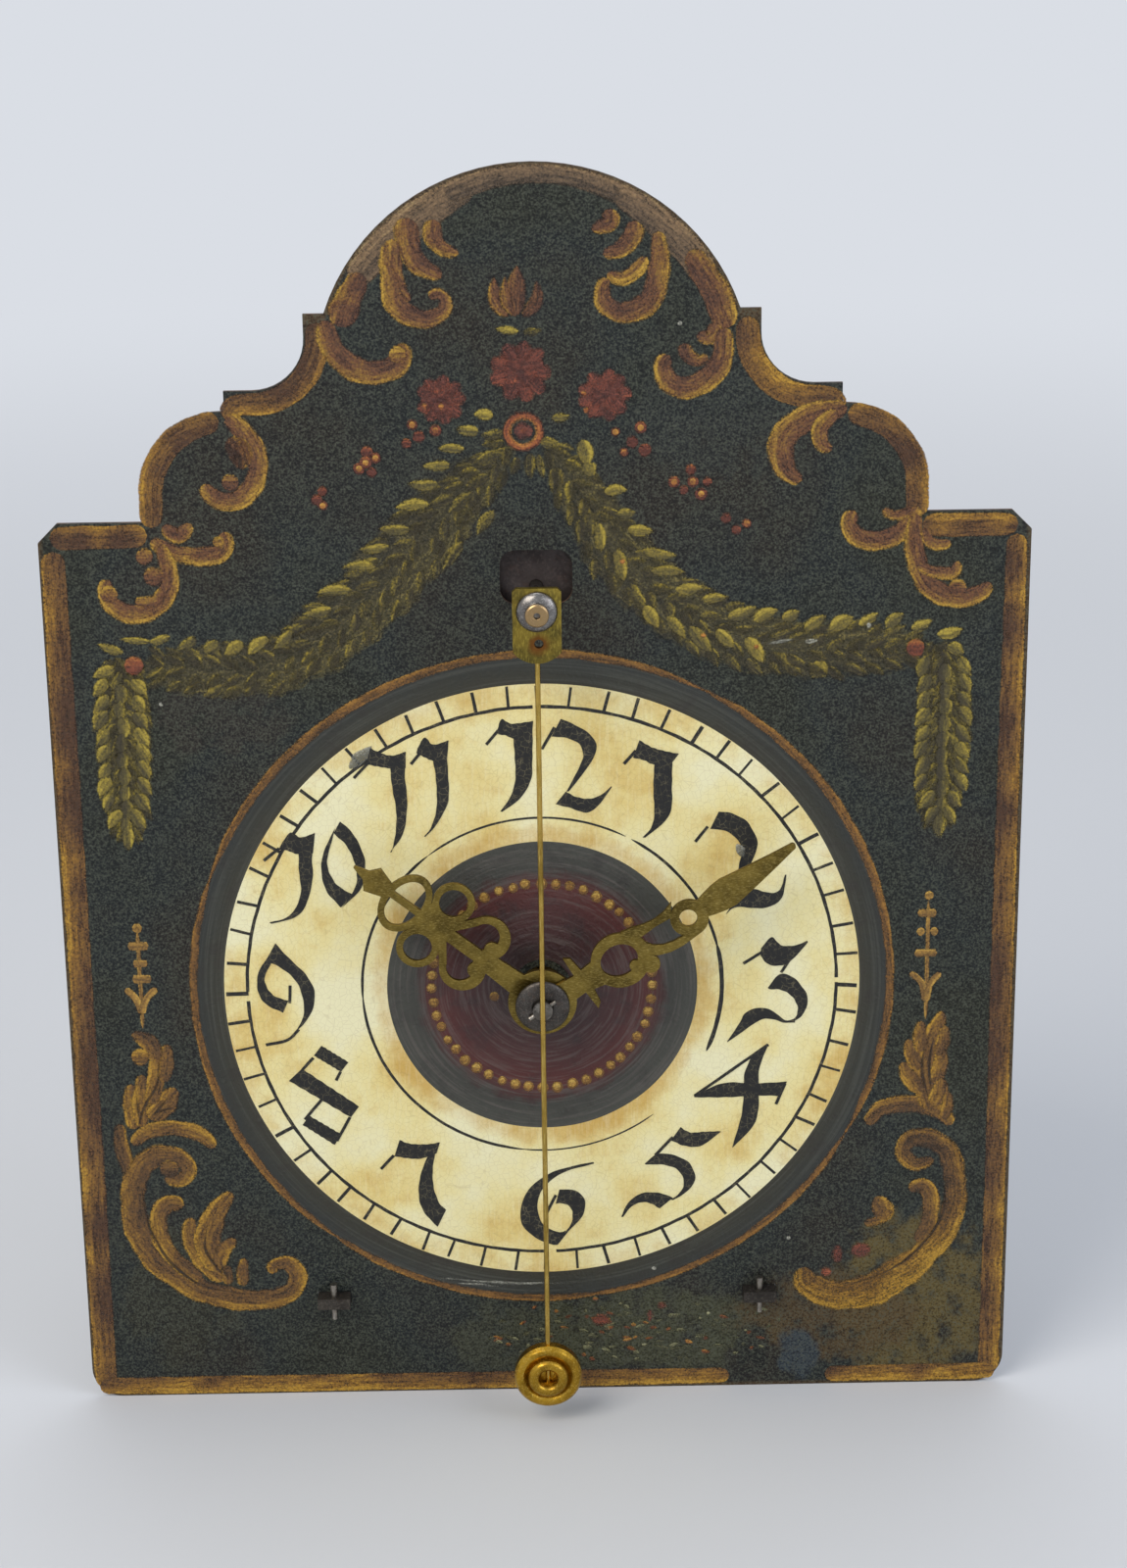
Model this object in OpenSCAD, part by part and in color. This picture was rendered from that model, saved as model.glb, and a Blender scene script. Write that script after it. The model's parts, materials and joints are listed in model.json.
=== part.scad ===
// Painted iron wall clock with a short pendulum swinging in front of the dial.
// X runs to the right, Y runs back into the clock and Z runs up.
// Depths are counted backwards from the painted face, so what stands in front of it is negative.

/* [Dial plate] */
// Width of the dial plate over its straight sides
dial_w = 240; // [236:1:250]
// Height from the bottom edge to the top of the arch
dial_h = 322.4; // [318:0.2:328]
// Thickness of the sheet iron
dial_t = 1.2; // [1:0.1:1.4]
// Height of the two square shoulders
side_h = 237.4; // [235:0.2:240]
// Cut across each shoulder's corner
side_cut = 4.8; // [3:0.2:6]
// Radius of the two bottom corners
foot_r = 8; // [4:1:12]
// Width over the two quarter rounds
round_w = 189.2; // [186:0.2:192]
// Radius of each quarter round
round_r = 20.3; // [19:0.1:21.5]
// Height of the top of the quarter rounds
round_h = 264.3; // [262:0.1:266]
// Width over the little ledge above them
ledge_w = 147.4; // [146:0.2:149]
// Height of that ledge
ledge_h = 269.2; // [268:0.1:271]
// Radius of the hollow between the ledge and the neck
hollow_r = 12.7; // [11:0.1:13.4]
// Width of the neck under the arch
neck_w = 108.4; // [106:0.2:112]
// Height of the neck's square corners
neck_h = 287.4; // [285:0.2:289]
// Radius of the arch
arch_r = 52.2; // [50:0.2:54]
// Width of the opening round the pendulum arbor
window_w = 17.6; // [17:0.2:18.2]
// Height of that opening
window_h = 13.6; // [13.4:0.2:14.4]
// Corner radius of that opening
window_r = 3.8; // [2:0.1:5]
// How far the opening's lower edge lies below the pendulum arbor
window_drop = 3.4; // [3.3:0.1:4]
// Gap between the hour pipe and the hole in the dial
dial_hole_gap = 0.8; // [0.5:0.1:1.5]

/* [Iron cage] */
// Width of the cage plates
cage_w = 120; // [118:1:124]
// Depth of the cage plates
cage_d = 64; // [63:0.5:65]
// Depth from the dial's face to the cage plates' front edge
cage_y = 8; // [7:0.5:8.5]
// Thickness of the cage plates
plate_t = 3; // [2.5:0.1:3.5]
// Height of the bottom plate's lower face
base_z = 26.5; // [24:0.5:28]
// Clear height between the top plate and the crown pinion's leaves
plate_over_pinion = 3.6; // [3:0.1:5]
// Side of the square corner posts
post_s = 7; // [6:0.5:8]
// Distance of a post's middle from the plate's edges
post_inset = 6.5; // [6:0.5:8]
// Radius of the round tenon at each end of a post
tenon_r = 2.6; // [2.2:0.1:3]
// Clearance round a piece that is seated in another
seat_gap = 0.02; // [0:0.01:0.05]
// Height of a post's finial above the top plate
finial_h = 12; // [10:0.5:15]
// Width of the pivot bars
bar_w = 14; // [12:0.5:16]
// Thickness of the pivot bars
bar_t = 3; // [2.5:0.1:3.5]
// Depth from the dial's face to the front bar
front_bar_y = 15; // [15:0.5:16]
// Clear depth between the two bars
bar_gap = 44; // [44:0.5:46]
// Width of a bar's tenon
bar_tenon_w = 8; // [6:0.5:9]
// Height of a bar's tenon above the top plate
bar_tenon_h = 8; // [7:0.5:9]
// Radius of the round ear that carries a pivot beside the bar
ear_r = 6.5; // [6:0.5:7.5]

/* [Fixings] */
// Width of the two tongues that carry the dial
tongue_w = 8.4; // [7.5:0.1:9.5]
// Distance from a tongue's middle to the side of the bottom plate
tongue_inset = 4.5; // [4.2:0.1:6]
// How far the tongues stand out in front of the dial
tongue_out = 4.2; // [4:0.1:5]
// Length of the taper pins
taper_pin_l = 10; // [9:0.5:11]
// Radius of the thick end of a taper pin
taper_pin_r = 0.95; // [0.8:0.05:1.1]
// Taper on the radius of a taper pin
taper_pin_fall = 0.25; // [0.1:0.05:0.4]
// Clearance of the tongues in the dial's slots
slot_gap = 0.15; // [0.1:0.05:0.3]
// Gap between a dial hook and the finial beside it
hook_gap = 1.5; // [1:0.1:6]
// Width of a dial hook
hook_w = 10; // [8:0.5:12]
// Thickness of a dial hook
hook_t = 1.5; // [1.2:0.1:2]
// Height of a hook's leg along the back of the dial
hook_leg = 11; // [9:0.5:13]
// Width between the middles of the hanging arch's feet
hanger_w = 72; // [66:1:76]
// Width of the strap that the hanging arch is made of
hanger_s = 9; // [8:0.5:10]
// Thickness of that strap
hanger_t = 2.5; // [2:0.1:3]
// Height of the hanging hole above the top plate
hanger_h = 34; // [30:1:38]
// Radius of the hanging hole
hanger_hole_r = 4; // [3:0.1:4.5]
// Radius of the eye round the hanging hole
hanger_eye_r = 9; // [8:0.5:11]
// Depth from the dial's face to the wall
wall_y = 82; // [80:0.5:84]
// How far the two spurs reach past the wall's face
spur_bite = 3; // [2:0.5:4]
// Radius of the wall spurs
spur_r = 2.4; // [2:0.1:3]

/* [Going train] */
// Height of the hands' arbor above the bottom edge
centre_z = 114.9; // [114.5:0.1:116]
// Teeth of the great wheel
great_n = 72; // [72:1:72]
// Leaves of the centre pinion
centre_pinion_n = 12; // [12:1:12]
// Module of the great wheel and centre pinion
great_m = 1.05; // [1.03:0.01:1.06]
// Teeth of the centre wheel
centre_n = 64; // [64:1:64]
// Leaves of the second pinion
second_pinion_n = 8; // [8:1:8]
// Module of the centre wheel and second pinion
centre_m = 1; // [0.98:0.01:1.02]
// Teeth of the second wheel
second_n = 48; // [48:1:48]
// Leaves of the contrate pinion
contrate_pinion_n = 8; // [8:1:8]
// Module of the second wheel and contrate pinion
second_m = 0.9; // [0.88:0.01:0.92]
// How far the second arbor stands to the left of the middle
second_x = 15; // [14:0.5:15.5]
// Teeth of the contrate wheel
contrate_n = 33; // [33:1:33]
// Leaves of the crown pinion
crown_pinion_n = 6; // [6:1:6]
// Pitch radius of the contrate wheel
contrate_r = 14; // [13.6:0.1:14.4]
// Share of the pitch that a tooth fills
tooth_fill = 0.42; // [0.38:0.01:0.44]
// Tooth height above the pitch circle, in modules
addendum = 0.85; // [0.7:0.05:0.95]
// Tooth depth below the pitch circle, in modules
dedendum = 1.2; // [1.1:0.05:1.4]
// Thickness of the brass wheels
wheel_t = 2.2; // [1.8:0.1:2.4]
// Width of a wheel's rim inside the teeth
rim_w = 4; // [3:0.2:5]
// Width of a wheel's crossings
arm_w = 4; // [3:0.2:5]
// Length of the pinion leaves
leaf_l = 7; // [6:0.5:8]
// Radius of the great arbor
great_arbor_r = 4; // [3.5:0.1:4.5]
// Radius of the centre arbor
centre_arbor_r = 2.5; // [2.3:0.1:2.7]
// Radius of the two upper arbors
arbor_r = 2; // [1.8:0.1:2.2]
// Radius of the great arbor's pivots
great_pivot_r = 2; // [1.8:0.1:2.2]
// Radius of the other pivots
pivot_r = 1; // [0.9:0.05:1.1]
// Running clearance round a pivot
pivot_gap = 0.05; // [0.03:0.01:0.08]
// Play between an arbor's shoulder and its bar
end_shake = 0.2; // [0.1:0.05:0.3]
// Radius of the brass pivot bushes
bush_r = 3.2; // [3:0.1:3.5]

/* [Rope pulley] */
// Outer radius of the pulley's flanges
pulley_r = 19; // [18:0.5:20]
// Radius at the bottom of the rope groove
groove_r = 12; // [11:0.5:13]
// Width of the pulley
pulley_w = 15; // [13:0.5:15]
// Number of spikes that grip the rope
spike_n = 12; // [8:1:16]
// Height of a spike
spike_h = 3; // [2:0.2:4]
// Teeth of the ratchet wheel
ratchet_n = 24; // [16:4:28]
// Tip radius of the ratchet wheel
ratchet_r = 17; // [16.5:0.1:17.5]
// Depth of a ratchet tooth
ratchet_tooth = 2.2; // [1.8:0.1:2.6]
// Thickness of the ratchet wheel and click
ratchet_t = 2.2; // [1.8:0.1:2.4]
// Clearance between the click's nose and the ratchet tips
click_gap = 0.3; // [0.2:0.05:0.5]
// Distance of the click's pivot from the great arbor
click_arm = 27; // [26:0.5:28]
// Radius of the click's pivot screw
click_pin_r = 1.5; // [1.3:0.1:1.7]

/* [Escapement] */
// Teeth of the crown wheel
crown_n = 15; // [15:1:15]
// Mean radius of the crown wheel's rim
crown_r = 13; // [12.8:0.1:13.2]
// Thickness of the crown wheel's rim
crown_rim = 1.2; // [1:0.1:1.4]
// Height of the crown wheel's plain band
crown_band = 5; // [4:0.5:6]
// Height of a crown tooth
crown_tooth = 5; // [4.4:0.2:5]
// Height of the pendulum arbor above the top plate
verge_rise = 26; // [25.5:0.1:27]
// Height of the pendulum arbor above the crown teeth
verge_drop = 3.6; // [3.6:0.05:3.8]
// Length of a pallet from the middle of the arbor
pallet_l = 4.9; // [4.7:0.05:4.9]
// Thickness of a pallet
pallet_t = 0.8; // [0.6:0.05:0.85]
// Width of a pallet along the arbor
pallet_w = 5; // [4:0.5:5.5]
// Angle of each pallet from the vertical
pallet_angle = 50; // [48:1:52]
// Radius of the pendulum arbor
verge_r = 1.6; // [1.4:0.1:1.8]
// Depth from the dial's face to the crown arbor
crown_y = 40; // [39.5:0.5:41]
// Radius of the crown arbor
crown_arbor_r = 1.8; // [1.6:0.1:2]
// Thickness of the two cocks that carry the pendulum arbor
cock_t = 2.5; // [2:0.1:3]
// Width of the cocks
cock_w = 28; // [24:1:30]

/* [Hands and motion work] */
// Angle of the minute hand, clockwise from twelve
minute_angle = 56.5; // [0:0.5:360]
// Angle of the hour hand, clockwise from twelve
hour_angle = 308.8; // [0:0.1:360]
// Length of the minute hand from the middle to its tip
minute_l = 75.3; // [74:0.1:77]
// Length of the hour hand from the middle to its tip
hour_l = 59; // [58:0.1:60]
// Thickness of the hands
hand_t = 1.2; // [1:0.1:1.3]
// Distance from the dial to the back of the hour hand
hour_out = 9; // [8:0.2:9.4]
// Gap between the two hands
hands_gap = 1.2; // [1:0.1:1.4]
// Radius of the ring at the middle of the hour hand
hub_r = 8.6; // [8:0.1:9]
// Radius of the minute hand's middle, under the washer
minute_hub_r = 6.2; // [5.8:0.1:6.4]
// Half width of the minute hand's leaf
leaf_r = 3.9; // [3.5:0.1:4.3]
// Teeth of the cannon wheel
cannon_n = 12; // [12:1:12]
// Teeth of the minute wheel
minute_n = 36; // [36:1:36]
// Leaves of the minute pinion
minute_pinion_n = 10; // [10:1:10]
// Teeth of the hour wheel
hour_n = 40; // [40:1:40]
// Module of the cannon and minute wheels
motion_m = 1; // [0.98:0.01:1.02]
// Wall of the two pipes
pipe_wall = 1.1; // [1:0.05:1.2]
// Radius of the steel washer in front of the hands
washer_r = 6.8; // [6.6:0.1:7.4]
// Length of the cross pin in front of the washer
cross_pin_l = 8; // [6:0.5:9]
// Radius of the cross pin
cross_pin_r = 0.55; // [0.45:0.05:0.6]

/* [Pendulum] */
// Distance of the pendulum rod in front of the dial
rod_out = 17.4; // [17.4:0.1:18]
// Radius of the pendulum rod
rod_r = 0.65; // [0.62:0.01:0.75]
// Width of the brass tongue that the rod hangs from
hanger_plate_w = 11.7; // [11:0.1:12.5]
// Length of that tongue
hanger_plate_h = 18.6; // [18:0.1:19.2]
// Thickness of that tongue
hanger_plate_t = 1.6; // [1.5:0.1:1.8]
// How far the tongue stands above the arbor
hanger_plate_top = 5.6; // [5.2:0.1:6]
// Radius of the steel cap on the arbor's end
cap_r = 5; // [4.6:0.1:5.4]
// Height of the bob's middle above the dial's bottom edge
bob_z = 14; // [13:0.5:16]
// Radius of the bob
bob_r = 8.65; // [8.2:0.05:9]
// Thickness of the bob
bob_t = 7; // [6:0.2:7.4]
// Running clearance of the bob on its rod
bob_gap = 0.05; // [0.03:0.01:0.08]

/* [Hidden] */
$fn = 64;

// Everything is centred over the space between the cap in front and the spurs behind
cap_t = 4.2;
front_reach = rod_out + hanger_plate_t / 2 + cap_t;
back_reach = wall_y + spur_bite;
dial_y = (front_reach - back_reach) / 2;

// Depths, counted back from the painted face.
// side_gap is the play between pieces that turn past each other on the great arbor.
back_bar_y = front_bar_y + bar_t + bar_gap;
hour_wheel_y = 4;
cannon_y = 8.4;
spring_t = 1.2;
collar_y = cannon_y + wheel_t + spring_t;
collar_t = front_bar_y - end_shake - collar_y;
minute_hand_y = -hour_out - hand_t - hands_gap;
hand_tip_r = 0.8;
leaf_neck_r = 2.2;
centre_wheel_y = front_bar_y + bar_t + 6;
great_wheel_y = 50;
side_gap = 0.3;
second_wheel_y = 52;
ratchet_y = great_wheel_y - click_gap - ratchet_t;
pulley_y = ratchet_y - side_gap - pulley_w;
rod_y = -rod_out;

// Heights
base_top = base_z + plate_t;
great_p = [0, centre_z - great_m * (great_n + centre_pinion_n) / 2];
centre_p = [0, centre_z];
second_d = centre_m * (centre_n + second_pinion_n) / 2;
second_p = [-second_x, centre_z + sqrt(second_d * second_d - second_x * second_x)];
contrate_d = second_m * (second_n + contrate_pinion_n) / 2;
contrate_p = [0, second_p[1] + sqrt(contrate_d * contrate_d - second_x * second_x)];
crown_pinion_z = contrate_p[1] + contrate_r;
top_z = crown_pinion_z + leaf_l / 2 + 1 + plate_over_pinion;
top_top = top_z + plate_t;
verge_z = top_top + verge_rise;
crown_tip_z = verge_z - verge_drop;
crown_floor_z = crown_tip_z - crown_tooth - crown_band;
motion_d = motion_m * (cannon_n + minute_n) / 2;
hour_m = 2 * motion_d / (minute_pinion_n + hour_n);
minute_p = [0, centre_z - motion_d];
window_z = verge_z - window_drop;

// Places of the cage's parts
post_x = cage_w / 2 - post_inset;
post_front_y = cage_y + post_inset;
post_back_y = cage_y + cage_d - post_inset;
tongue_x = cage_w / 2 - tongue_inset;
finial_r = 5;
hook_x = post_x - finial_r - hook_gap - hook_w / 2;
hook_lap = cage_y + hook_w - 1;
tongue_pin_y = -tongue_out / 2 - 0.2;

// Pipes of the motion work, each running on the one inside it
cannon_bore_r = centre_arbor_r + pivot_gap;
cannon_pipe_r = cannon_bore_r + pipe_wall;
hour_bore_r = cannon_pipe_r + pivot_gap;
hour_pipe_r = hour_bore_r + pipe_wall;

// Small fixed sizes that other pieces share
wedge_w = 2.4;
wedge_l = 15;
wedge_h = 2.8;
wedge_fall = 0.4;
screw_r = 1.4;
screw_x = 10;
cock_notch = 12;
cock_foot = 14;
cock_front_y = 4;
cock_back_y = crown_y + crown_r + 4;
hanger_foot = 22;
potence_t = 3;
crown_bush_wall = 1.6;
nose_r = 1.2;
nose_angle = -38;
stud_r = 1.5;
stud_pin_r = 0.5;
hub_wall = 4;
washer_dome = 1.4;
arbor_front_y = minute_hand_y - hand_t - washer_dome - 2 * cross_pin_r - 0.8;
contrate_band = 3;
contrate_face = 2.2;
contrate_gap_root = 0.48;
contrate_gap_tip = 0.78;
crown_pinion_fill = 0.36;
crown_tip = 0.3;
// turn of the crown wheel at rest that leaves both pallets room to dip between its teeth
crown_rest = 15.4;
cap_boss_r = 2.9;
rod_tenon_r = 0.45;
rod_tenon_l = 3.4;

// Pitch and radius of the crown pinion, from the contrate wheel that drives it
contrate_pitch = 360 / contrate_n;
crown_pinion_m = 2 * contrate_r / contrate_n;
crown_pinion_r = crown_pinion_m * crown_pinion_n / 2;

// A phase that puts a gap of one wheel opposite a tooth of the other.
// b is the direction from the first wheel to the second, n and p are the first wheel's teeth and phase
function meshed(b, n, p, n2) = b + 180 + 180 / n2 - (p - b) * n / n2;

great_phase = 90;
centre_pinion_phase = meshed(90, great_n, great_phase, centre_pinion_n);
second_dir = 180 - acos(second_x / second_d);
centre_phase = second_dir;
second_pinion_phase = meshed(second_dir, centre_n, centre_phase, second_pinion_n);
contrate_dir = acos(second_x / contrate_d);
second_phase = contrate_dir;
contrate_pinion_phase = meshed(contrate_dir, second_n, second_phase, contrate_pinion_n);
cannon_phase = 270;
minute_phase = meshed(270, cannon_n, cannon_phase, minute_n);
minute_pinion_phase = 90;
hour_phase = meshed(90, minute_pinion_n, minute_pinion_phase, hour_n);
crown_phase = 90 + 90 / crown_n + crown_rest;

// Places its children behind the painted face
module at_depth(d) { translate([0, dial_y + d, 0]) children(); }

// Extrudes an outline, drawn as seen from the front, from depth d back over thickness t
module slab(d, t) { at_depth(d + t) rotate([90, 0, 0]) linear_extrude(t) children(); }

// Moves its children to a place on the front view
module at(p) { translate([p[0], 0, p[1]]) children(); }

// A round bar along Y from depth a to depth b
module bar_y(r, a, b, n = 48) { at_depth(b) rotate([90, 0, 0]) cylinder(r = r, h = b - a, $fn = n); }

// A revolved piece along Y: its outline has the radius across and the depth upwards
module turned(n = 64) { at_depth(0) rotate([-90, 0, 0]) rotate_extrude($fn = n) children(); }

// Outline of a toothed wheel with straight flanks and narrowed tips
function toothed(n, m, phase, fill = tooth_fill) =
    let (r = m * n / 2, w = 90 / n * fill * 2)
    [for (k = [0 : n - 1])
        let (a = phase + 360 / n * k)
        for (q = [[r - dedendum * m, -1.05], [r, -1], [r + addendum * m, -0.4],
                  [r + addendum * m, 0.4], [r, 1], [r - dedendum * m, 1.05]])
            q[0] * [cos(a + q[1] * w), sin(a + q[1] * w)]];

// A brass wheel: teeth, rim, four crossings and a hub with its bore
module wheel_outline(n, m, phase, hub, bore, arms = 4) {
    root = m * n / 2 - dedendum * m;
    difference() {
        polygon(toothed(n, m, phase));
        circle(r = root - rim_w);
    }
    difference() {
        union() {
            circle(r = hub);
            for (k = [0 : arms - 1]) rotate(360 / arms * k)
                polygon([[0, -arm_w * 0.62], [root - rim_w + 1, -arm_w / 2],
                         [root - rim_w + 1, arm_w / 2], [0, arm_w * 0.62]]);
        }
        circle(r = bore);
    }
}

module dial_outline() {
    difference() {
        union() {
            // straight sides with cut shoulders and rounded bottom corners
            polygon([[-dial_w / 2 + foot_r, 0], [dial_w / 2 - foot_r, 0], [dial_w / 2, foot_r],
                     [dial_w / 2, side_h - side_cut], [dial_w / 2 - side_cut, side_h],
                     [-dial_w / 2 + side_cut, side_h], [-dial_w / 2, side_h - side_cut],
                     [-dial_w / 2, foot_r]]);
            for (s = [-1, 1]) {
                translate([s * (dial_w / 2 - foot_r), foot_r]) circle(r = foot_r);
                translate([s * (round_w / 2 - round_r), round_h - round_r]) circle(r = round_r);
            }
            translate([-round_w / 2, side_h - 1]) square([round_w, round_h - round_r - side_h + 1]);
            translate([-round_w / 2 + round_r, side_h - 1])
                square([round_w - 2 * round_r, round_h - side_h + 1]);
            translate([-ledge_w / 2, round_h - 1]) square([ledge_w, ledge_h - round_h + 1]);
            // the hollow sweeps from the ledge up to the neck
            difference() {
                translate([-neck_w / 2 - hollow_r, ledge_h - 1])
                    square([neck_w + 2 * hollow_r, hollow_r + 1]);
                for (s = [-1, 1])
                    translate([s * (neck_w / 2 + hollow_r), ledge_h + hollow_r]) circle(r = hollow_r);
            }
            translate([-neck_w / 2, ledge_h]) square([neck_w, neck_h - ledge_h]);
            translate([0, dial_h - arch_r]) circle(r = arch_r, $fn = 128);
        }
        window_outline();
        translate([0, centre_z]) circle(r = hour_pipe_r + dial_hole_gap);
        for (s = [-1, 1]) translate([s * tongue_x, base_z + plate_t / 2])
            square([tongue_w + 2 * slot_gap, plate_t + 2 * slot_gap], center = true);
    }
}

module window_outline() {
    for (x = [-1, 1], z = [0, 1])
        translate([x * (window_w / 2 - window_r), window_z + window_r + z * (window_h - 2 * window_r)])
            circle(r = window_r);
    translate([-window_w / 2, window_z + window_r]) square([window_w, window_h - 2 * window_r]);
    translate([-window_w / 2 + window_r, window_z]) square([window_w - 2 * window_r, window_h]);
}

module dial_plate() {
    color("darkslategray") slab(0, dial_t) dial_outline();
}

// Two bent straps riveted to the dial's back, which hook over the top plate's front edge
module dial_hooks() {
    color("dimgray") for (s = [-1, 1]) {
        translate([s * hook_x - hook_w / 2, dial_y + dial_t, top_top])
            cube([hook_w, hook_lap - dial_t, hook_t]);
        translate([s * hook_x - hook_w / 2, dial_y + dial_t, top_top])
            cube([hook_w, hook_t, hook_leg]);
    }
}

module taper_pins() {
    color("silver") for (s = [-1, 1])
        translate([s * tongue_x, dial_y + tongue_pin_y, base_z + plate_t / 2 - taper_pin_l / 2])
            cylinder(r1 = taper_pin_r - taper_pin_fall, r2 = taper_pin_r, h = taper_pin_l, $fn = 32);
}

module post_places() {
    for (s = [-1, 1], y = [post_front_y, post_back_y]) translate([s * post_x, dial_y + y, 0]) children();
}

module bottom_plate() {
    color("dimgray") difference() {
        translate([-cage_w / 2, dial_y + cage_y, base_z]) union() {
            cube([cage_w, cage_d, plate_t]);
            for (s = [-1, 1]) translate([cage_w / 2 + s * tongue_x - tongue_w / 2, -cage_y - tongue_out, 0])
                cube([tongue_w, cage_y + tongue_out + 1, plate_t]);
        }
        post_places() translate([0, 0, base_z - 1]) cylinder(r = tenon_r + seat_gap, h = plate_t + 2, $fn = 32);
        for (s = [-1, 1]) translate([s * tongue_x, dial_y + tongue_pin_y, base_z - 1])
            cylinder(r = taper_pin_r + seat_gap, h = plate_t + 2, $fn = 32);
        bar_slots(base_z);
        // rope holes under the pulley's two sides
        for (s = [-1, 1]) translate([s * (groove_r + 3), dial_y + pulley_y + pulley_w / 2, base_z - 1])
            cylinder(r = 5, h = plate_t + 2, $fn = 32);
    }
}

module bar_slots(z) {
    for (y = [front_bar_y, back_bar_y])
        translate([-bar_tenon_w / 2 - seat_gap, dial_y + y - seat_gap, z - 1])
            cube([bar_tenon_w + 2 * seat_gap, bar_t + 2 * seat_gap, plate_t + 2]);
}

module top_plate() {
    color("dimgray") difference() {
        translate([-cage_w / 2, dial_y + cage_y, top_z]) cube([cage_w, cage_d, plate_t]);
        post_places() translate([0, 0, top_z - 1]) cylinder(r = tenon_r + seat_gap, h = plate_t + 2, $fn = 32);
        bar_slots(top_z);
        translate([0, dial_y + crown_y, top_z - 1])
            cylinder(r = crown_arbor_r + crown_bush_wall + seat_gap, h = plate_t + 2, $fn = 48);
        screw_places() translate([0, 0, top_z - 1]) cylinder(r = screw_r + seat_gap, h = plate_t + 2, $fn = 24);
    }
}

module corner_post(s, y) {
    tenon = plate_t + 4;
    color("gray") translate([s * post_x, dial_y + y, 0]) {
        translate([-post_s / 2, -post_s / 2, base_top]) cube([post_s, post_s, top_z - base_top]);
        translate([0, 0, base_top - tenon]) cylinder(r = tenon_r, h = top_z - base_top + 2 * tenon, $fn = 32);
    }
}

// Turned feet, each on the lower tenon of a post
module feet() {
    color("gray") post_places() difference() {
        rotate_extrude($fn = 48) polygon([[0, 0], [5.5, 0], [6, 1.5], [4.2, 4], [3.6, 7], [3.6, base_z - 9],
            [4.8, base_z - 6], [5.6, base_z - 3.5], [5.6, base_z], [0, base_z]]);
        translate([0, 0, base_z - 5]) cylinder(r = tenon_r + seat_gap, h = 6, $fn = 32);
    }
}

// Turned finials, each on the upper tenon of a post
module finials() {
    color("gray") post_places() translate([0, 0, top_top]) difference() {
        rotate_extrude($fn = 48) polygon(concat([[0, 0], [finial_r, 0], [finial_r, 1.5], [3.4, 2.6], [3.1, 4.2]],
            [for (a = [-50 : 20 : 90]) [3.9 * cos(a), finial_h - 4.4 + 4.4 * sin(a)]]));
        translate([0, 0, -1]) cylinder(r = tenon_r + seat_gap, h = 5.2, $fn = 32);
    }
}

// Outline of a pivot bar: a strip with tenons and an ear for the second arbor
module bar_outline(holes) {
    difference() {
        union() {
            translate([-bar_w / 2, base_top]) square([bar_w, top_z - base_top]);
            translate([-bar_tenon_w / 2, base_z]) square([bar_tenon_w, top_top + bar_tenon_h - base_z]);
            translate(second_p) circle(r = ear_r);
            translate([-second_x, second_p[1] - ear_r * 0.8]) square([second_x, ear_r * 1.6]);
        }
        for (h = holes) translate(h[0]) circle(r = h[1] + seat_gap);
        translate([-wedge_w / 2 - seat_gap, top_top]) square([wedge_w + 2 * seat_gap, wedge_h + wedge_fall]);
    }
}

module front_bar() {
    color("gray") slab(front_bar_y, bar_t) bar_outline([[great_p, bush_r + 1], [second_p, bush_r],
        [contrate_p, bush_r], [centre_p, bush_r + 1], [minute_p, stud_r]]);
}

module back_bar() {
    color("gray") slab(back_bar_y, bar_t) bar_outline([[great_p, bush_r + 1], [second_p, bush_r],
        [contrate_p, bush_r], [centre_p, bush_r]]);
}

// Tapered wedges through the bars' upper tenons, lying on the top plate
module bar_wedges() {
    color("silver") for (y = [front_bar_y, back_bar_y])
        translate([-wedge_w / 2, dial_y + y + bar_t / 2, top_top]) rotate([90, 0, 90])
            linear_extrude(wedge_w) polygon([[-wedge_l / 2, 0], [wedge_l / 2, 0],
                [wedge_l / 2, wedge_h + wedge_fall], [-wedge_l / 2, wedge_h - wedge_fall]]);
}

module bush(p, r, bore, y) {
    at(p) difference() {
        bar_y(r, y, y + bar_t);
        bar_y(bore, y - 1, y + bar_t + 1);
    }
}

module pivot_bushes() {
    color("goldenrod") {
        for (y = [front_bar_y, back_bar_y]) {
            bush(great_p, bush_r + 1, great_pivot_r + pivot_gap, y);
            bush(second_p, bush_r, pivot_r + pivot_gap, y);
            bush(contrate_p, bush_r, pivot_r + pivot_gap, y);
        }
        bush(centre_p, bush_r + 1, centre_arbor_r + pivot_gap, front_bar_y);
        bush(centre_p, bush_r, pivot_r + pivot_gap, back_bar_y);
        translate([0, dial_y + crown_y, top_z]) difference() {
            cylinder(r = crown_arbor_r + crown_bush_wall, h = plate_t, $fn = 48);
            translate([0, 0, -1]) cylinder(r = crown_arbor_r + pivot_gap, h = plate_t + 2, $fn = 48);
        }
    }
}

// Bracket under the top plate that carries the crown arbor's lower pivot
module potence() {
    leg_y = crown_y + 10;
    arm_top = crown_pinion_z - leaf_l / 2 - 1 - end_shake;
    color("dimgray") difference() {
        translate([-4, dial_y, 0]) union() {
            translate([0, crown_y - 3.5, arm_top - potence_t]) cube([8, 13.5 + potence_t, potence_t]);
            translate([0, leg_y, arm_top - potence_t]) cube([8, potence_t, top_z - arm_top + potence_t]);
            translate([-3, leg_y, top_z - potence_t]) cube([14, 10, potence_t]);
        }
        translate([0, dial_y + crown_y, arm_top - potence_t - 1])
            cylinder(r = pivot_r + pivot_gap, h = potence_t + 2, $fn = 32);
    }
}

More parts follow.
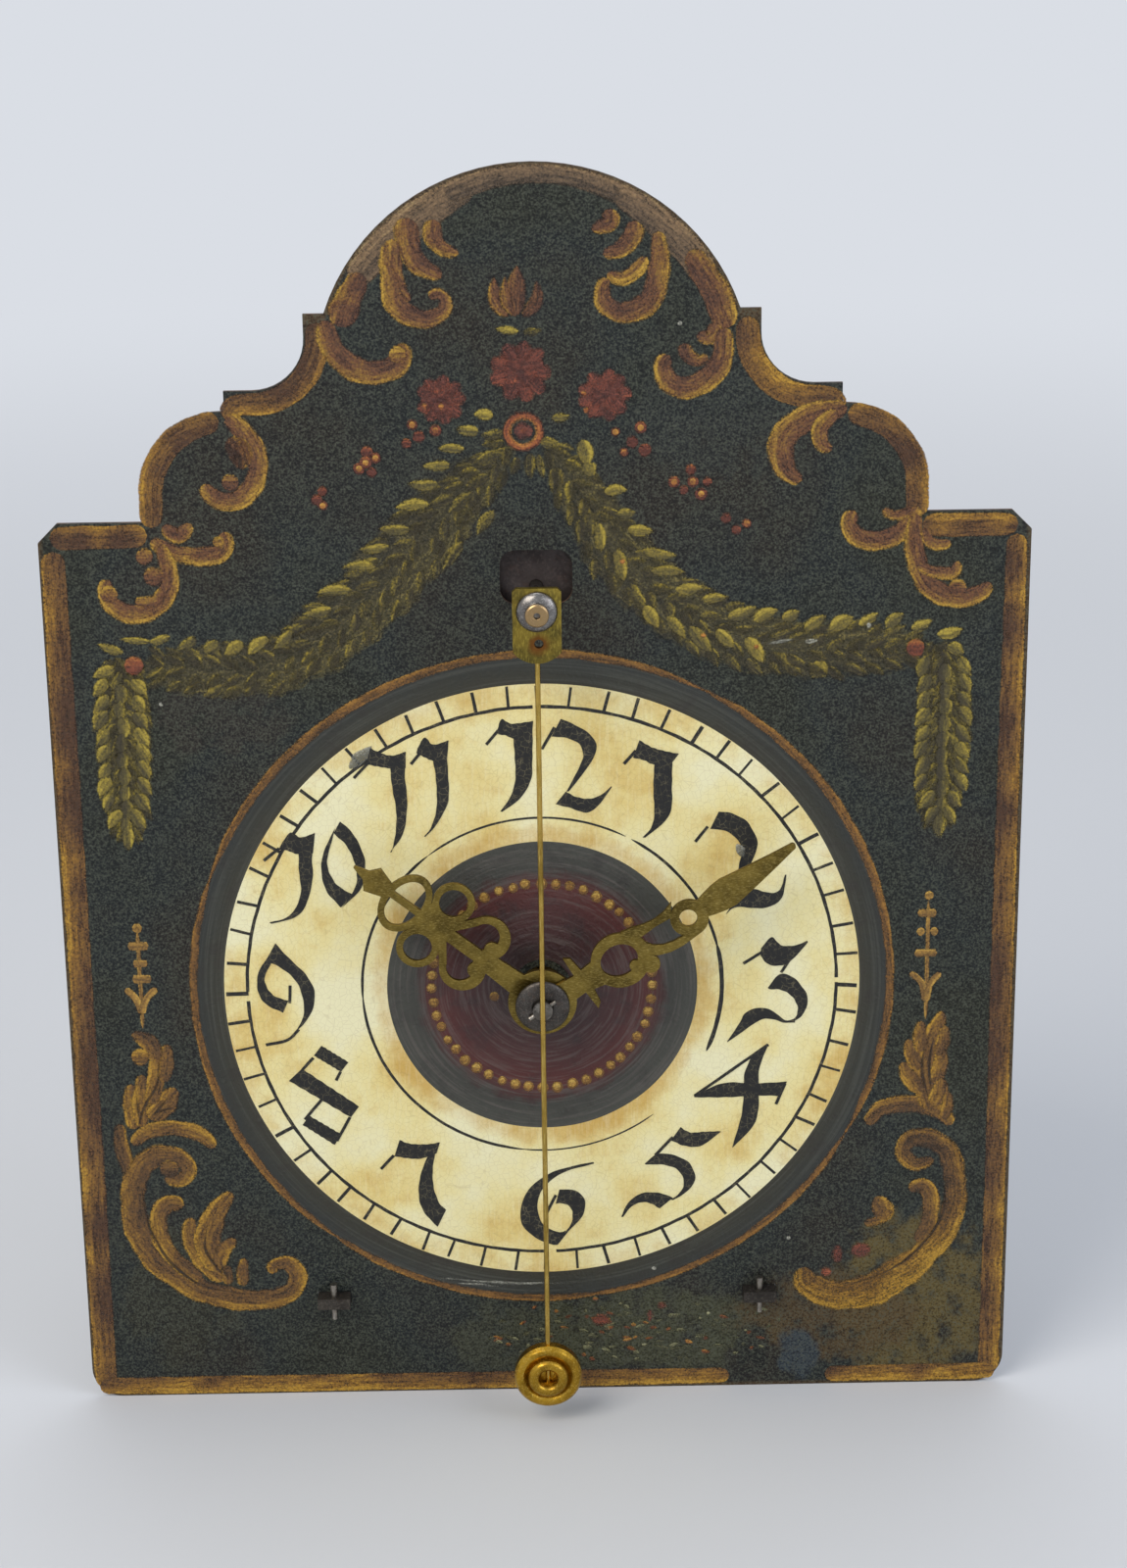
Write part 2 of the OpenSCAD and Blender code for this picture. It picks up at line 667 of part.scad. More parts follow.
// Strap bent into an arch at the back, with the hole that hangs the clock
module hanging_arch() {
    half = hanger_w / 2;
    rise = hanger_h - 4;
    color("dimgray") {
        slab(wall_y - hanger_t, hanger_t) difference() {
            union() {
                polygon(concat(
                    [for (a = [0 : 6 : 180]) [(half + hanger_s / 2) * cos(a), top_top + (rise + hanger_s / 2) * sin(a)]],
                    [for (a = [180 : -6 : 0]) [(half - hanger_s / 2) * cos(a), top_top + (rise - hanger_s / 2) * sin(a)]]));
                translate([0, top_top + hanger_h]) circle(r = hanger_eye_r);
            }
            translate([0, top_top + hanger_h]) circle(r = hanger_hole_r);
        }
        difference() {
            for (s = [-1, 1]) translate([s * half - hanger_s / 2, dial_y + wall_y - hanger_foot, top_top])
                cube([hanger_s, hanger_foot - hanger_t, hanger_t]);
            screw_places() translate([0, 0, top_top - 1]) cylinder(r = screw_r + seat_gap, h = 9, $fn = 24);
        }
    }
}

// Pointed spurs in the two back posts, which steady the clock against the wall
module wall_spurs() {
    start = post_back_y + post_s / 2;
    color("gray") for (s = [-1, 1]) translate([s * post_x, 0, base_top + 12])
        turned(32) polygon([[0, start], [spur_r + 1.2, start], [spur_r + 1.2, start + 2], [spur_r, start + 3],
            [spur_r, wall_y - 4], [0.4, back_reach], [0, back_reach]]);
}

// The screws that hold the cocks and the hanging arch on the top plate
module screw_places() {
    for (s = [-1, 1]) {
        translate([s * screw_x, dial_y + cock_front_y + cock_foot - 5, 0]) children();
        translate([s * screw_x, dial_y + cock_back_y + cock_foot - 5, 0]) children();
        translate([s * hanger_w / 2, dial_y + wall_y - hanger_foot + 5, 0]) children();
    }
}

module cock_screws() {
    color("silver") screw_places() difference() {
        translate([0, 0, top_z]) union() {
            cylinder(r = screw_r, h = plate_t + cock_t, $fn = 24);
            translate([0, 0, plate_t + cock_t]) cylinder(r1 = 2 * screw_r, r2 = 1.7 * screw_r, h = 1.6, $fn = 32);
        }
        translate([-4, -0.3, top_top + cock_t + 0.9]) cube([8, 0.6, 1]);
    }
}

// A cock stands on two feet over the bar's wedge; its hole carries the pendulum arbor
module cock(y, top, bore) {
    difference() {
        union() {
            slab(y, cock_t) difference() {
                union() {
                    translate([-cock_w / 2, top_top]) square([cock_w, top - cock_w / 4]);
                    for (s = [-1, 1]) translate([s * cock_w / 4, top_top + top - cock_w / 4]) circle(r = cock_w / 4);
                    translate([-cock_w / 4, top_top]) square([cock_w / 2, top]);
                }
                translate([-cock_notch / 2, top_top - 1]) square([cock_notch, 8]);
                translate([0, verge_z]) circle(r = bore);
            }
            for (s = [-1, 1]) translate([s > 0 ? cock_notch / 2 : -cock_w / 2, dial_y + y, top_top])
                cube([(cock_w - cock_notch) / 2, cock_foot, cock_t]);
        }
        screw_places() translate([0, 0, top_top - 1]) cylinder(r = screw_r + seat_gap, h = 9, $fn = 24);
    }
}

module front_cock() {
    color("saddlebrown") cock(cock_front_y, verge_rise + 13, verge_r + pivot_gap);
}

module back_cock() {
    color("dimgray") cock(cock_back_y, verge_rise + 6, pivot_r + pivot_gap);
}

module great_wheel() {
    color("goldenrod") at(great_p) {
        slab(great_wheel_y, wheel_t) difference() {
            union() {
                wheel_outline(great_n, great_m, great_phase, great_arbor_r + 1.25 * hub_wall, great_arbor_r + seat_gap);
                for (a = [0, -90]) rotate(a) translate([click_arm, 0]) circle(r = 4.4, $fn = 40);
            }
            for (a = [0, -90]) rotate(a) translate([click_arm, 0]) circle(r = click_pin_r + seat_gap);
        }
        difference() {
            bar_y(7.5, great_wheel_y + wheel_t, great_wheel_y + wheel_t + 3);
            bar_y(great_arbor_r + seat_gap, great_wheel_y, great_wheel_y + wheel_t + 4);
        }
    }
}

// An arbor between the two bars with a pivot at each end
module arbor(p, r, pivot, from = front_bar_y) {
    at(p) {
        bar_y(r, front_bar_y + bar_t + end_shake, back_bar_y - end_shake);
        bar_y(pivot, from, back_bar_y + bar_t);
    }
}

module leaves(p, n, m, phase, y, l = leaf_l) {
    at(p) slab(y, l) polygon(toothed(n, m, phase));
}

module great_arbor() {
    color("gray") {
        arbor(great_p, great_arbor_r, great_pivot_r);
        at(great_p) bar_y(great_arbor_r + 2.5, pulley_y - side_gap - 2.5, pulley_y - side_gap);
    }
}

module click_screw() {
    head_t = 1.4;
    color("silver") at(great_p) translate([click_arm, 0, 0]) {
        bar_y(click_pin_r, ratchet_y - side_gap - head_t, great_wheel_y + wheel_t);
        bar_y(2 * click_pin_r, ratchet_y - side_gap - head_t, ratchet_y - side_gap);
    }
}

// A bowed strip riveted to a crossing, pressing on the back of the click
module click_spring() {
    r = ratchet_r + click_gap + 2 * nose_r + click_gap;
    color("lightsteelblue") at(great_p) {
        slab(ratchet_y + 0.2, ratchet_t - 0.2 + click_gap) {
            difference() {
                intersection() {
                    circle(r = r + 0.8);
                    polygon([[0, 0], 3 * r * [cos(nose_angle - 1), sin(nose_angle - 1)],
                        [3 * r, -4 * r], [0, -4 * r]]);
                }
                circle(r = r);
            }
            difference() {
                translate([0, -click_arm]) square([3, click_arm - r - 0.1]);
                translate([0, -click_arm]) circle(r = 2);
            }
            translate([0, -click_arm]) circle(r = 3);
        }
        translate([0, 0, -click_arm]) bar_y(click_pin_r, great_wheel_y - 0.5, great_wheel_y + wheel_t);
    }
}

module click() {
    color("lightsteelblue") at(great_p) slab(ratchet_y, ratchet_t) difference() {
        hull() {
            translate([click_arm, 0]) circle(r = 3.4, $fn = 32);
            rotate(nose_angle) translate([ratchet_r + click_gap + nose_r, 0]) circle(r = nose_r, $fn = 24);
        }
        translate([click_arm, 0]) circle(r = click_pin_r + pivot_gap);
    }
}

module rope_pulley() {
    mid = pulley_y + pulley_w / 2;
    half = pulley_w / 2;
    color("darkgoldenrod") at(great_p) {
        turned() polygon([[great_arbor_r + pivot_gap, pulley_y], [pulley_r, pulley_y], [pulley_r, pulley_y + 1.6],
            [groove_r + 2, mid - 2.6], [groove_r, mid - 1.6], [groove_r, mid + 1.6], [groove_r + 2, mid + 2.6],
            [pulley_r, mid + half - 1.6], [pulley_r, mid + half], [great_arbor_r + pivot_gap, mid + half]]);
        for (k = [0 : spike_n - 1]) rotate([0, 360 / spike_n * k, 0])
            translate([0, dial_y + mid, groove_r - 0.5]) cylinder(r1 = 0.9, r2 = 0.3, h = spike_h + 0.5, $fn = 16);
    }
}

// Saw teeth, steep on one side, on the back of the pulley
module ratchet_wheel() {
    pitch = 360 / ratchet_n;
    floor_r = ratchet_r - ratchet_tooth;
    color("lightsteelblue") at(great_p) slab(ratchet_y - side_gap, ratchet_t + side_gap) difference() {
        polygon([for (k = [0 : ratchet_n - 1]) for (q = [[floor_r, 0], [ratchet_r, 0.86], [ratchet_r, 0.94]])
            let (a = nose_angle + (k - 0.5 + q[1]) * pitch) q[0] * [cos(a), sin(a)]]);
        circle(r = great_arbor_r + pivot_gap);
    }
}

module centre_wheel() {
    color("goldenrod") at(centre_p) {
        slab(centre_wheel_y, wheel_t) wheel_outline(centre_n, centre_m, centre_phase,
            centre_arbor_r + hub_wall, centre_arbor_r + seat_gap);
        collet(2 * centre_arbor_r, centre_arbor_r, centre_wheel_y + wheel_t);
    }
}

// Short brass boss behind a wheel
module collet(r, bore, y, l = 3) {
    difference() {
        bar_y(r, y, y + l);
        bar_y(bore + seat_gap, y - 1, y + l + 1);
    }
}

// Where the cross pin goes through the centre arbor
module cross_place() {
    at(centre_p) translate([0, dial_y + arbor_front_y + cross_pin_r + 0.3, 0]) rotate([0, 55, 0]) children();
}

module centre_arbor() {
    color("gray") {
        difference() {
            at(centre_p) bar_y(centre_arbor_r, arbor_front_y, back_bar_y - end_shake);
            cross_place() cylinder(r = cross_pin_r + seat_gap, h = 4 * centre_arbor_r, center = true, $fn = 24);
        }
        at(centre_p) {
            bar_y(pivot_r, back_bar_y - 1, back_bar_y + bar_t);
            // square shoulder behind the front bar
            bar_y(centre_arbor_r + 1.5, front_bar_y + bar_t + end_shake, front_bar_y + bar_t + 2);
        }
        leaves(centre_p, centre_pinion_n, great_m, centre_pinion_phase,
            great_wheel_y + wheel_t / 2 - leaf_l / 2);
    }
}

module hand_washer() {
    back = minute_hand_y - hand_t;
    color("dimgray") at(centre_p) turned() polygon(concat(
        [[centre_arbor_r + seat_gap, back], [washer_r, back]],
        [for (a = [0 : 15 : 60]) [washer_r * cos(a), back - 0.3 - washer_dome * sin(a) * 1.15]],
        [[centre_arbor_r + seat_gap, back - 0.3 - washer_dome]]));
}

module cross_pin() {
    color("silver") cross_place() translate([0, 0, -cross_pin_l / 2])
        cylinder(r1 = cross_pin_r, r2 = cross_pin_r * 0.8, h = cross_pin_l, $fn = 24);
}

// Collar pinned on the centre arbor, which the tension spring leans on
module tension_collar() {
    color("goldenrod") at(centre_p) difference() {
        bar_y(5, collar_y, collar_y + collar_t);
        bar_y(centre_arbor_r + seat_gap, collar_y - 1, collar_y + collar_t + 1);
    }
}

module second_wheel() {
    color("goldenrod") at(second_p) {
        slab(second_wheel_y, wheel_t) wheel_outline(second_n, second_m, second_phase,
            arbor_r + 0.875 * hub_wall, arbor_r + seat_gap);
        collet(2.25 * arbor_r, arbor_r, second_wheel_y + wheel_t);
    }
}

module second_arbor() {
    color("gray") {
        arbor(second_p, arbor_r, pivot_r);
        leaves(second_p, second_pinion_n, centre_m, second_pinion_phase,
            centre_wheel_y + wheel_t / 2 - leaf_l / 2);
    }
}

// Crown-shaped wheel whose teeth stand along the arbor and drive the upright pinion
module contrate_wheel() {
    tip_y = crown_y - crown_pinion_r + addendum * crown_pinion_m;
    root_y = crown_y - crown_pinion_r - dedendum * crown_pinion_m;
    back_y = root_y - contrate_band;
    half = 2 * PI * contrate_r / contrate_n / 2;
    color("goldenrod") at(contrate_p) {
        difference() {
            bar_y(contrate_r + contrate_face / 2, back_y, tip_y, 96);
            bar_y(contrate_r - contrate_face / 2, back_y - 1, tip_y + 1, 96);
            for (k = [0 : contrate_n - 1]) rotate([0, contrate_pitch * k, 0])
                translate([0, dial_y + root_y, contrate_r - contrate_face / 2 - 1])
                    linear_extrude(contrate_face + 2) polygon([
                        [-half * contrate_gap_root, 0], [half * contrate_gap_root, 0],
                        [half * contrate_gap_tip, tip_y - root_y + 0.1],
                        [-half * contrate_gap_tip, tip_y - root_y + 0.1]]);
        }
        slab(back_y, 1.8) difference() {
            union() {
                circle(r = 5);
                for (k = [0 : 3]) rotate(90 * k + 45) translate([0, -1.5])
                    square([contrate_r - contrate_face / 2 + 0.2, 3]);
            }
            circle(r = arbor_r + seat_gap);
        }
        collet(2 * arbor_r, arbor_r, back_y - 3);
    }
}

module contrate_arbor() {
    color("gray") {
        arbor(contrate_p, arbor_r, pivot_r);
        leaves(contrate_p, contrate_pinion_n, second_m, contrate_pinion_phase,
            second_wheel_y + wheel_t / 2 - leaf_l / 2);
    }
}

// Escape wheel: a thin band with slanting teeth round its upper edge
module crown_wheel() {
    pitch = 2 * PI * crown_r / crown_n;
    undercut = 0.2;
    floor_x = undercut + pitch * 0.35;
    // the cuts run on above the tips, at the same slopes
    cut_h = crown_tooth + 1;
    lean = cut_h / crown_tooth;
    color("goldenrod") translate([0, dial_y + crown_y, crown_floor_z]) {
        difference() {
            cylinder(r = crown_r + crown_rim / 2, h = crown_band + crown_tooth, $fn = 96);
            translate([0, 0, -1]) cylinder(r = crown_r - crown_rim / 2, h = crown_band + crown_tooth + 2, $fn = 96);
            for (k = [0 : crown_n - 1]) rotate(crown_phase + 360 / crown_n * k)
                translate([0, -crown_r + 2.2 * crown_rim, crown_band]) rotate([90, 0, 0])
                    linear_extrude(crown_rim * 4) polygon([[-undercut, 0], [-undercut + undercut * lean, cut_h],
                        [-floor_x - (pitch - crown_tip - floor_x) * lean, cut_h], [-floor_x, 0]]);
        }
        difference() {
            union() {
                cylinder(r = 4.5, h = 3.2, $fn = 48);
                for (k = [0 : 2]) rotate(120 * k) translate([0, -1.4, 0])
                    cube([crown_r - crown_rim / 2 + 0.2, 2.8, 1.8]);
            }
            translate([0, 0, -1]) cylinder(r = crown_arbor_r + seat_gap, h = 6, $fn = 48);
        }
    }
}

module crown_arbor() {
    low = crown_pinion_z - leaf_l / 2;
    color("gray") translate([0, dial_y + crown_y, 0]) {
        translate([0, 0, low]) linear_extrude(leaf_l)
            polygon(toothed(crown_pinion_n, crown_pinion_m, 90, crown_pinion_fill));
        translate([0, 0, low - 1]) cylinder(r = crown_pinion_r - dedendum * crown_pinion_m, h = 1.5, $fn = 32);
        translate([0, 0, low - 1 - end_shake - potence_t])
            cylinder(r = pivot_r, h = potence_t + end_shake + 0.5, $fn = 32);
        translate([0, 0, low + leaf_l]) cylinder(r = crown_arbor_r, h = crown_floor_z + 4 - low - leaf_l, $fn = 48);
    }
}

module cannon_wheel() {
    color("goldenrod") at(centre_p) {
        slab(cannon_y, wheel_t) difference() {
            polygon(toothed(cannon_n, motion_m, cannon_phase));
            circle(r = cannon_bore_r);
        }
        difference() {
            bar_y(cannon_pipe_r, minute_hand_y - hand_t, cannon_y + 0.5);
            bar_y(cannon_bore_r, minute_hand_y - hand_t - 1, cannon_y + 1);
        }
    }
}

// Dished steel washer that grips the cannon wheel, so the hands can be set
module tension_spring() {
    y = cannon_y + wheel_t;
    color("lightsteelblue") at(centre_p) turned() polygon([[centre_arbor_r + pivot_gap, y], [3.6, y],
        [4.9, y + spring_t - 0.35], [4.9, y + spring_t], [4.2, y + spring_t],
        [3.2, y + 0.4], [centre_arbor_r + pivot_gap, y + 0.4]]);
}

module minute_wheel() {
    color("goldenrod") at(minute_p) {
        slab(cannon_y, wheel_t) wheel_outline(minute_n, motion_m, minute_phase,
            3 * stud_r, stud_r + pivot_gap, 3);
        slab(hour_wheel_y - 0.4, cannon_y - hour_wheel_y + 0.4) difference() {
            polygon(toothed(minute_pinion_n, hour_m, minute_pinion_phase));
            circle(r = stud_r + pivot_gap);
        }
    }
}

// Where the taper pin goes through the minute stud
module stud_pin_place() {
    at(minute_p) translate([0, dial_y + hour_wheel_y - 1.1, 0]) children();
}

module minute_stud() {
    color("gray") difference() {
        at(minute_p) bar_y(stud_r, hour_wheel_y - 1.8, front_bar_y + bar_t);
        stud_pin_place() cylinder(r = stud_pin_r + seat_gap, h = 4 * stud_r, center = true, $fn = 16);
    }
    color("gray") at(minute_p) {
        bar_y(stud_r * 2, cannon_y + wheel_t + end_shake, front_bar_y);
    }
}

module stud_pin() {
    pin_l = 14 * stud_pin_r;
    color("silver") stud_pin_place() translate([0, 0, -pin_l / 2])
        cylinder(r1 = 0.8 * stud_pin_r, r2 = stud_pin_r, h = pin_l, $fn = 16);
}

module hour_wheel() {
    color("goldenrod") at(centre_p) {
        slab(hour_wheel_y, wheel_t) wheel_outline(hour_n, hour_m, hour_phase,
            hour_pipe_r + wheel_t, hour_bore_r);
        difference() {
            bar_y(hour_pipe_r, -hour_out - hand_t, cannon_y - end_shake);
            bar_y(hour_bore_r, -hour_out - hand_t - 1, cannon_y + 1);
        }
    }
}

// Hour hand along +Y: heart of two scrolls, a pair of rings, an oval loop and an arrow head
module hour_outline(bore) {
    difference() {
        circle(r = hub_r);
        circle(r = bore);
    }
    polygon([[-3, hub_r - 1.4], [3, hub_r - 1.4], [2.4, 18], [-2.4, 18]]);
    // the heart
    difference() {
        union() {
            for (s = [-1, 1]) translate([s * 5, 21.4]) circle(r = 5.9);
            polygon([[0, 17], [9.2, 25.4], [2.2, 31.4], [-2.2, 31.4], [-9.2, 25.4]]);
        }
        for (s = [-1, 1]) {
            translate([s * 5.2, 22]) circle(r = 3.5);
            polygon([[s * 1.7, 20.4], [s * 7.9, 24.1], [s * 1.7, 29]]);
        }
        polygon([[-3, 12], [3, 12], [0, 18.4]]);
    }
    polygon([[-1.5, 17], [1.5, 17], [1.1, 32], [-1.1, 32]]);
    for (s = [-1, 1]) translate([s * 3.4, 18.6]) circle(r = 2, $fn = 32);
    // the two rings
    for (s = [-1, 1]) translate([s * 7.4, 33.7]) difference() {
        circle(r = 5.3);
        circle(r = 3.6);
    }
    polygon([[-4.2, 29.2], [4.2, 29.2], [3, 34], [4.4, 38.9], [-4.4, 38.9], [-3, 34]]);
    // the oval loop with its bar
    difference() {
        polygon(oval(8.2, 5.9, 43.2));
        polygon(oval(6.5, 4.2, 43.2));
    }
    translate([-0.9, 38]) square([1.8, 10]);
    // the arrow head
    polygon([[-1.7, 47.6], [1.7, 47.6], [3.6, hour_l - 5.6], [1.3, hour_l - 3.7], [0.25, hour_l],
             [-0.25, hour_l], [-1.3, hour_l - 3.7], [-3.6, hour_l - 5.6]]);
}

function oval(a, b, y, x = 0) = [for (t = [0 : 10 : 350]) [x + a * cos(t), y + b * sin(t)]];

module hour_hand() {
    color("darkgoldenrod") at(centre_p) slab(-hour_out - hand_t, hand_t) rotate(-hour_angle)
        hour_outline(hour_pipe_r + seat_gap);
}

// Half width of the minute hand's leaf, and its middle line, at a share t of its length
function leaf_half(t) = t < 0.3 ? leaf_neck_r + (leaf_r - leaf_neck_r) * sin(300 * t)
                                : leaf_r + (hand_tip_r - leaf_r) * (t - 0.3) / 0.7;
function leaf_mid(t) = 0.85 - 1.1 * t * t;

// Minute hand along +Y: two thorns, an open scroll, a loop, a ring and a leaf
module minute_outline(bore) {
    leaf_from = 46.5;
    leaf_l = minute_l - hand_tip_r - leaf_from;
    difference() {
        circle(r = minute_hub_r);
        circle(r = bore);
    }
    polygon([[-2.7, minute_hub_r - 1.2], [3.4, minute_hub_r - 1.2], [3, 11], [4.2, 17], [-3, 17], [-2.3, 11]]);
    polygon([[-7.7, 11.3], [0, 10.9], [8.4, 11.2], [7.2, 12.6], [3, 13.3], [-2, 13.3], [-6.6, 12.8]]);
    // the open scroll with its curled end
    difference() {
        polygon(oval(7.2, 7.4, 22.8, 0.8));
        polygon(oval(4.1, 4.9, 22.6, 0.6));
    }
    translate([4.1, 25.2]) circle(r = 1.5, $fn = 32);
    translate([5.9, 28.6]) circle(r = 2.3, $fn = 32);
    // the loop's two sides; the left one runs out into a thorn
    polygon([[-5.4, 27], [-1.5, 28], [-1.5, 31], [-1.8, 35], [-1.6, 39.4], [-3.2, 40.6], [-4.9, 41.8],
             [-3.9, 39], [-3.5, 36], [-3.9, 33], [-4.8, 30]]);
    polygon([[0, 28.4], [3.4, 29.2], [5, 31.4], [6, 34.5], [6.3, 38], [5.9, 43.6], [4.2, 40], [4, 36.5],
             [3.4, 34], [2.2, 32], [0.6, 30.7], [-2.4, 30.4]]);
    // the ring
    difference() {
        translate([1.1, 43.2]) circle(r = 4.8);
        translate([0.9, 43]) circle(r = 2.25, $fn = 40);
    }
    // the leaf leans a little towards its tip
    translate([0, leaf_from]) {
        polygon(concat([for (t = [0 : 0.1 : 1]) [leaf_mid(t) + leaf_half(t), t * leaf_l]],
                       [for (t = [1 : -0.1 : 0]) [leaf_mid(t) - leaf_half(t), t * leaf_l]]));
        translate([leaf_mid(1), leaf_l]) circle(r = hand_tip_r, $fn = 32);
    }
}

module minute_hand() {
    color("darkgoldenrod") at(centre_p) slab(minute_hand_y - hand_t, hand_t) rotate(-minute_angle)
        minute_outline(cannon_pipe_r + seat_gap);
}

// Pendulum arbor with its two pallets, which reach into the crown wheel from above
module verge() {
    color("gray") translate([0, 0, verge_z]) {
        bar_y(verge_r, rod_y - hanger_plate_t / 2 - cap_t + 1, cock_back_y - end_shake);
        bar_y(pivot_r, cock_back_y - 1, cock_back_y + cock_t);
        bar_y(verge_r + 1, cock_front_y + cock_t + end_shake, cock_front_y + cock_t + 2.5);
        bar_y(verge_r + 1.4, rod_y + hanger_plate_t / 2, rod_y + hanger_plate_t / 2 + 3.5);
        for (s = [-1, 1]) translate([0, dial_y + crown_y - s * crown_r, 0]) rotate([0, -s * pallet_angle, 0])
            translate([-pallet_t / 2, -pallet_w / 2, -pallet_l]) cube([pallet_t, pallet_w, pallet_l]);
    }
}

module verge_cap() {
    back = rod_y - hanger_plate_t / 2;
    color("lightslategray") translate([0, 0, verge_z]) turned() polygon(concat(
        [[verge_r + seat_gap, back], [cap_r, back], [cap_r, back - 0.4]],
        [for (a = [15 : 15 : 60]) [cap_r * cos(a), back - 0.4 - 2.2 * sin(a)]],
        [[cap_boss_r, back - 2.4], [cap_boss_r, back - cap_t + 0.4], [cap_boss_r - 0.5, back - cap_t],
         [0.8, back - cap_t], [0.8, back - cap_t + 0.9], [verge_r + seat_gap, back - cap_t + 0.9]]));
}

module pendulum_tongue() {
    foot = verge_z + hanger_plate_top - hanger_plate_h;
    top = verge_z + hanger_plate_top;
    half = hanger_plate_w / 2;
    round = 7.4;
    corner = 0.9;
    color("goldenrod") difference() {
        slab(rod_y - hanger_plate_t / 2, hanger_plate_t) difference() {
            union() {
                polygon([[-half, foot + round], [half, foot + round], [half, top - corner],
                         [half - corner, top], [corner - half, top], [-half, top - corner]]);
                intersection() {
                    translate([0, foot + round]) circle(r = round);
                    translate([-half, foot]) square([hanger_plate_w, round + 1]);
                }
            }
            translate([0, verge_z]) circle(r = verge_r + seat_gap);
            translate([0.4, foot + 4.9]) circle(r = 1.1, $fn = 32);
        }
        translate([0, dial_y + rod_y, foot - 1]) cylinder(r = rod_tenon_r + seat_gap, h = 1 + rod_tenon_l, $fn = 24);
    }
}

module pendulum_rod() {
    top = verge_z + hanger_plate_top - hanger_plate_h;
    foot = bob_z - bob_r * 0.8;
    color("goldenrod") translate([0, dial_y + rod_y, 0]) {
        translate([0, 0, foot]) cylinder(r = rod_r, h = top - foot, $fn = 32);
        translate([0, 0, foot]) cylinder(r = rod_tenon_r, h = top - foot + rod_tenon_l - seat_gap, $fn = 24);
    }
}

// Turned disc with two rolls round a sunk eye; it slides on the rod to set the rate
module pendulum_bob() {
    half = bob_t / 2;
    color("gold") difference() {
        translate([0, 0, bob_z]) turned(90) polygon(concat(
            [[0, rod_y + half * 0.9], [bob_r * 0.6, rod_y + half * 0.8]],
            [[bob_r - 0.5, rod_y + 1.5], [bob_r, rod_y + 1.2], [bob_r, rod_y - 1.2]],
            [for (a = [40 : 20 : 140]) [bob_r * 0.82 + bob_r * 0.16 * cos(a), rod_y - half * 0.36 - half * 0.3 * sin(a)]],
            [[bob_r * 0.62, rod_y - half * 0.4]],
            [for (a = [20 : 20 : 160]) [bob_r * 0.43 + bob_r * 0.17 * cos(a), rod_y - half * 0.62 - half * 0.38 * sin(a)]],
            [[bob_r * 0.23, rod_y + 0.2], [0, rod_y + 0.2]]));
        translate([0, dial_y + rod_y, bob_z - bob_r - 1]) cylinder(r = rod_r + bob_gap, h = 2 * bob_r + 2, $fn = 40);
    }
}

dial_plate();
dial_hooks();
taper_pins();
bottom_plate();
top_plate();
corner_post(-1, post_front_y);  // post_front_left
corner_post(1, post_front_y);  // post_front_right
corner_post(-1, post_back_y);  // post_back_left
corner_post(1, post_back_y);  // post_back_right
feet();
finials();
front_bar();
back_bar();
bar_wedges();
pivot_bushes();
potence();
hanging_arch();
wall_spurs();
front_cock();
back_cock();
cock_screws();
great_wheel();
great_arbor();
click_screw();
click_spring();
click();
rope_pulley();
ratchet_wheel();
centre_wheel();
centre_arbor();
hand_washer();
cross_pin();
tension_collar();
second_wheel();
second_arbor();
contrate_wheel();
contrate_arbor();
crown_wheel();
crown_arbor();
cannon_wheel();
tension_spring();
minute_hand();
minute_wheel();
minute_stud();
stud_pin();
hour_wheel();
hour_hand();
verge();
verge_cap();
pendulum_tongue();
pendulum_rod();
pendulum_bob();
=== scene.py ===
from functools import partial
import json
import math
import bmesh
import bpy
import numpy as np
from mathutils import Matrix, Vector


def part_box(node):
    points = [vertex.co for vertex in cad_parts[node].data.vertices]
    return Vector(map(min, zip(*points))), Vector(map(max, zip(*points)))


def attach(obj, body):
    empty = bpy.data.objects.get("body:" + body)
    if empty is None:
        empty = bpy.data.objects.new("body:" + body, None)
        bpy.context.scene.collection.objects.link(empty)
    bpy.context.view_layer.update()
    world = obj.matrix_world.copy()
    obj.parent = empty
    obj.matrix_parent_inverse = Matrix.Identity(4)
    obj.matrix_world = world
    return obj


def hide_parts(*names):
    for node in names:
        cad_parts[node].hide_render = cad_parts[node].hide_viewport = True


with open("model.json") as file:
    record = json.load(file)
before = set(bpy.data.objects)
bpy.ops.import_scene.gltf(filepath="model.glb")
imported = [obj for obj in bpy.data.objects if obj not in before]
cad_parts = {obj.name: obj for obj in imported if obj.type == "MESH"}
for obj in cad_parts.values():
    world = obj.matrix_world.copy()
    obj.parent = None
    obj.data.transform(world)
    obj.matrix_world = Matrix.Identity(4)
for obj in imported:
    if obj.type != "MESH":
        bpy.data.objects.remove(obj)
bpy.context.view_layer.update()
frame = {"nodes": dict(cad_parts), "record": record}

mm = 0.001
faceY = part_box("dial_plate")[0].y          # the painted side of the sheet iron
middle = (0.0, 114.9)                      # the hands' arbor on the dial, x and z in mm
dice = np.random.default_rng(7)
print("frame loaded, painted face at", round(faceY / mm, 2), "mm")


# hex sRGB to linear light: c / 12.92 in the darkest part, ((c + 0.055) / 1.055) ^ 2.4 above it
def tint(hexText):
    parts = [int(hexText[i:i + 2], 16) / 255 for i in (1, 3, 5)]
    return tuple(c / 12.92 if c <= 0.04045 else ((c + 0.055) / 1.055) ** 2.4 for c in parts) + (1.0,)


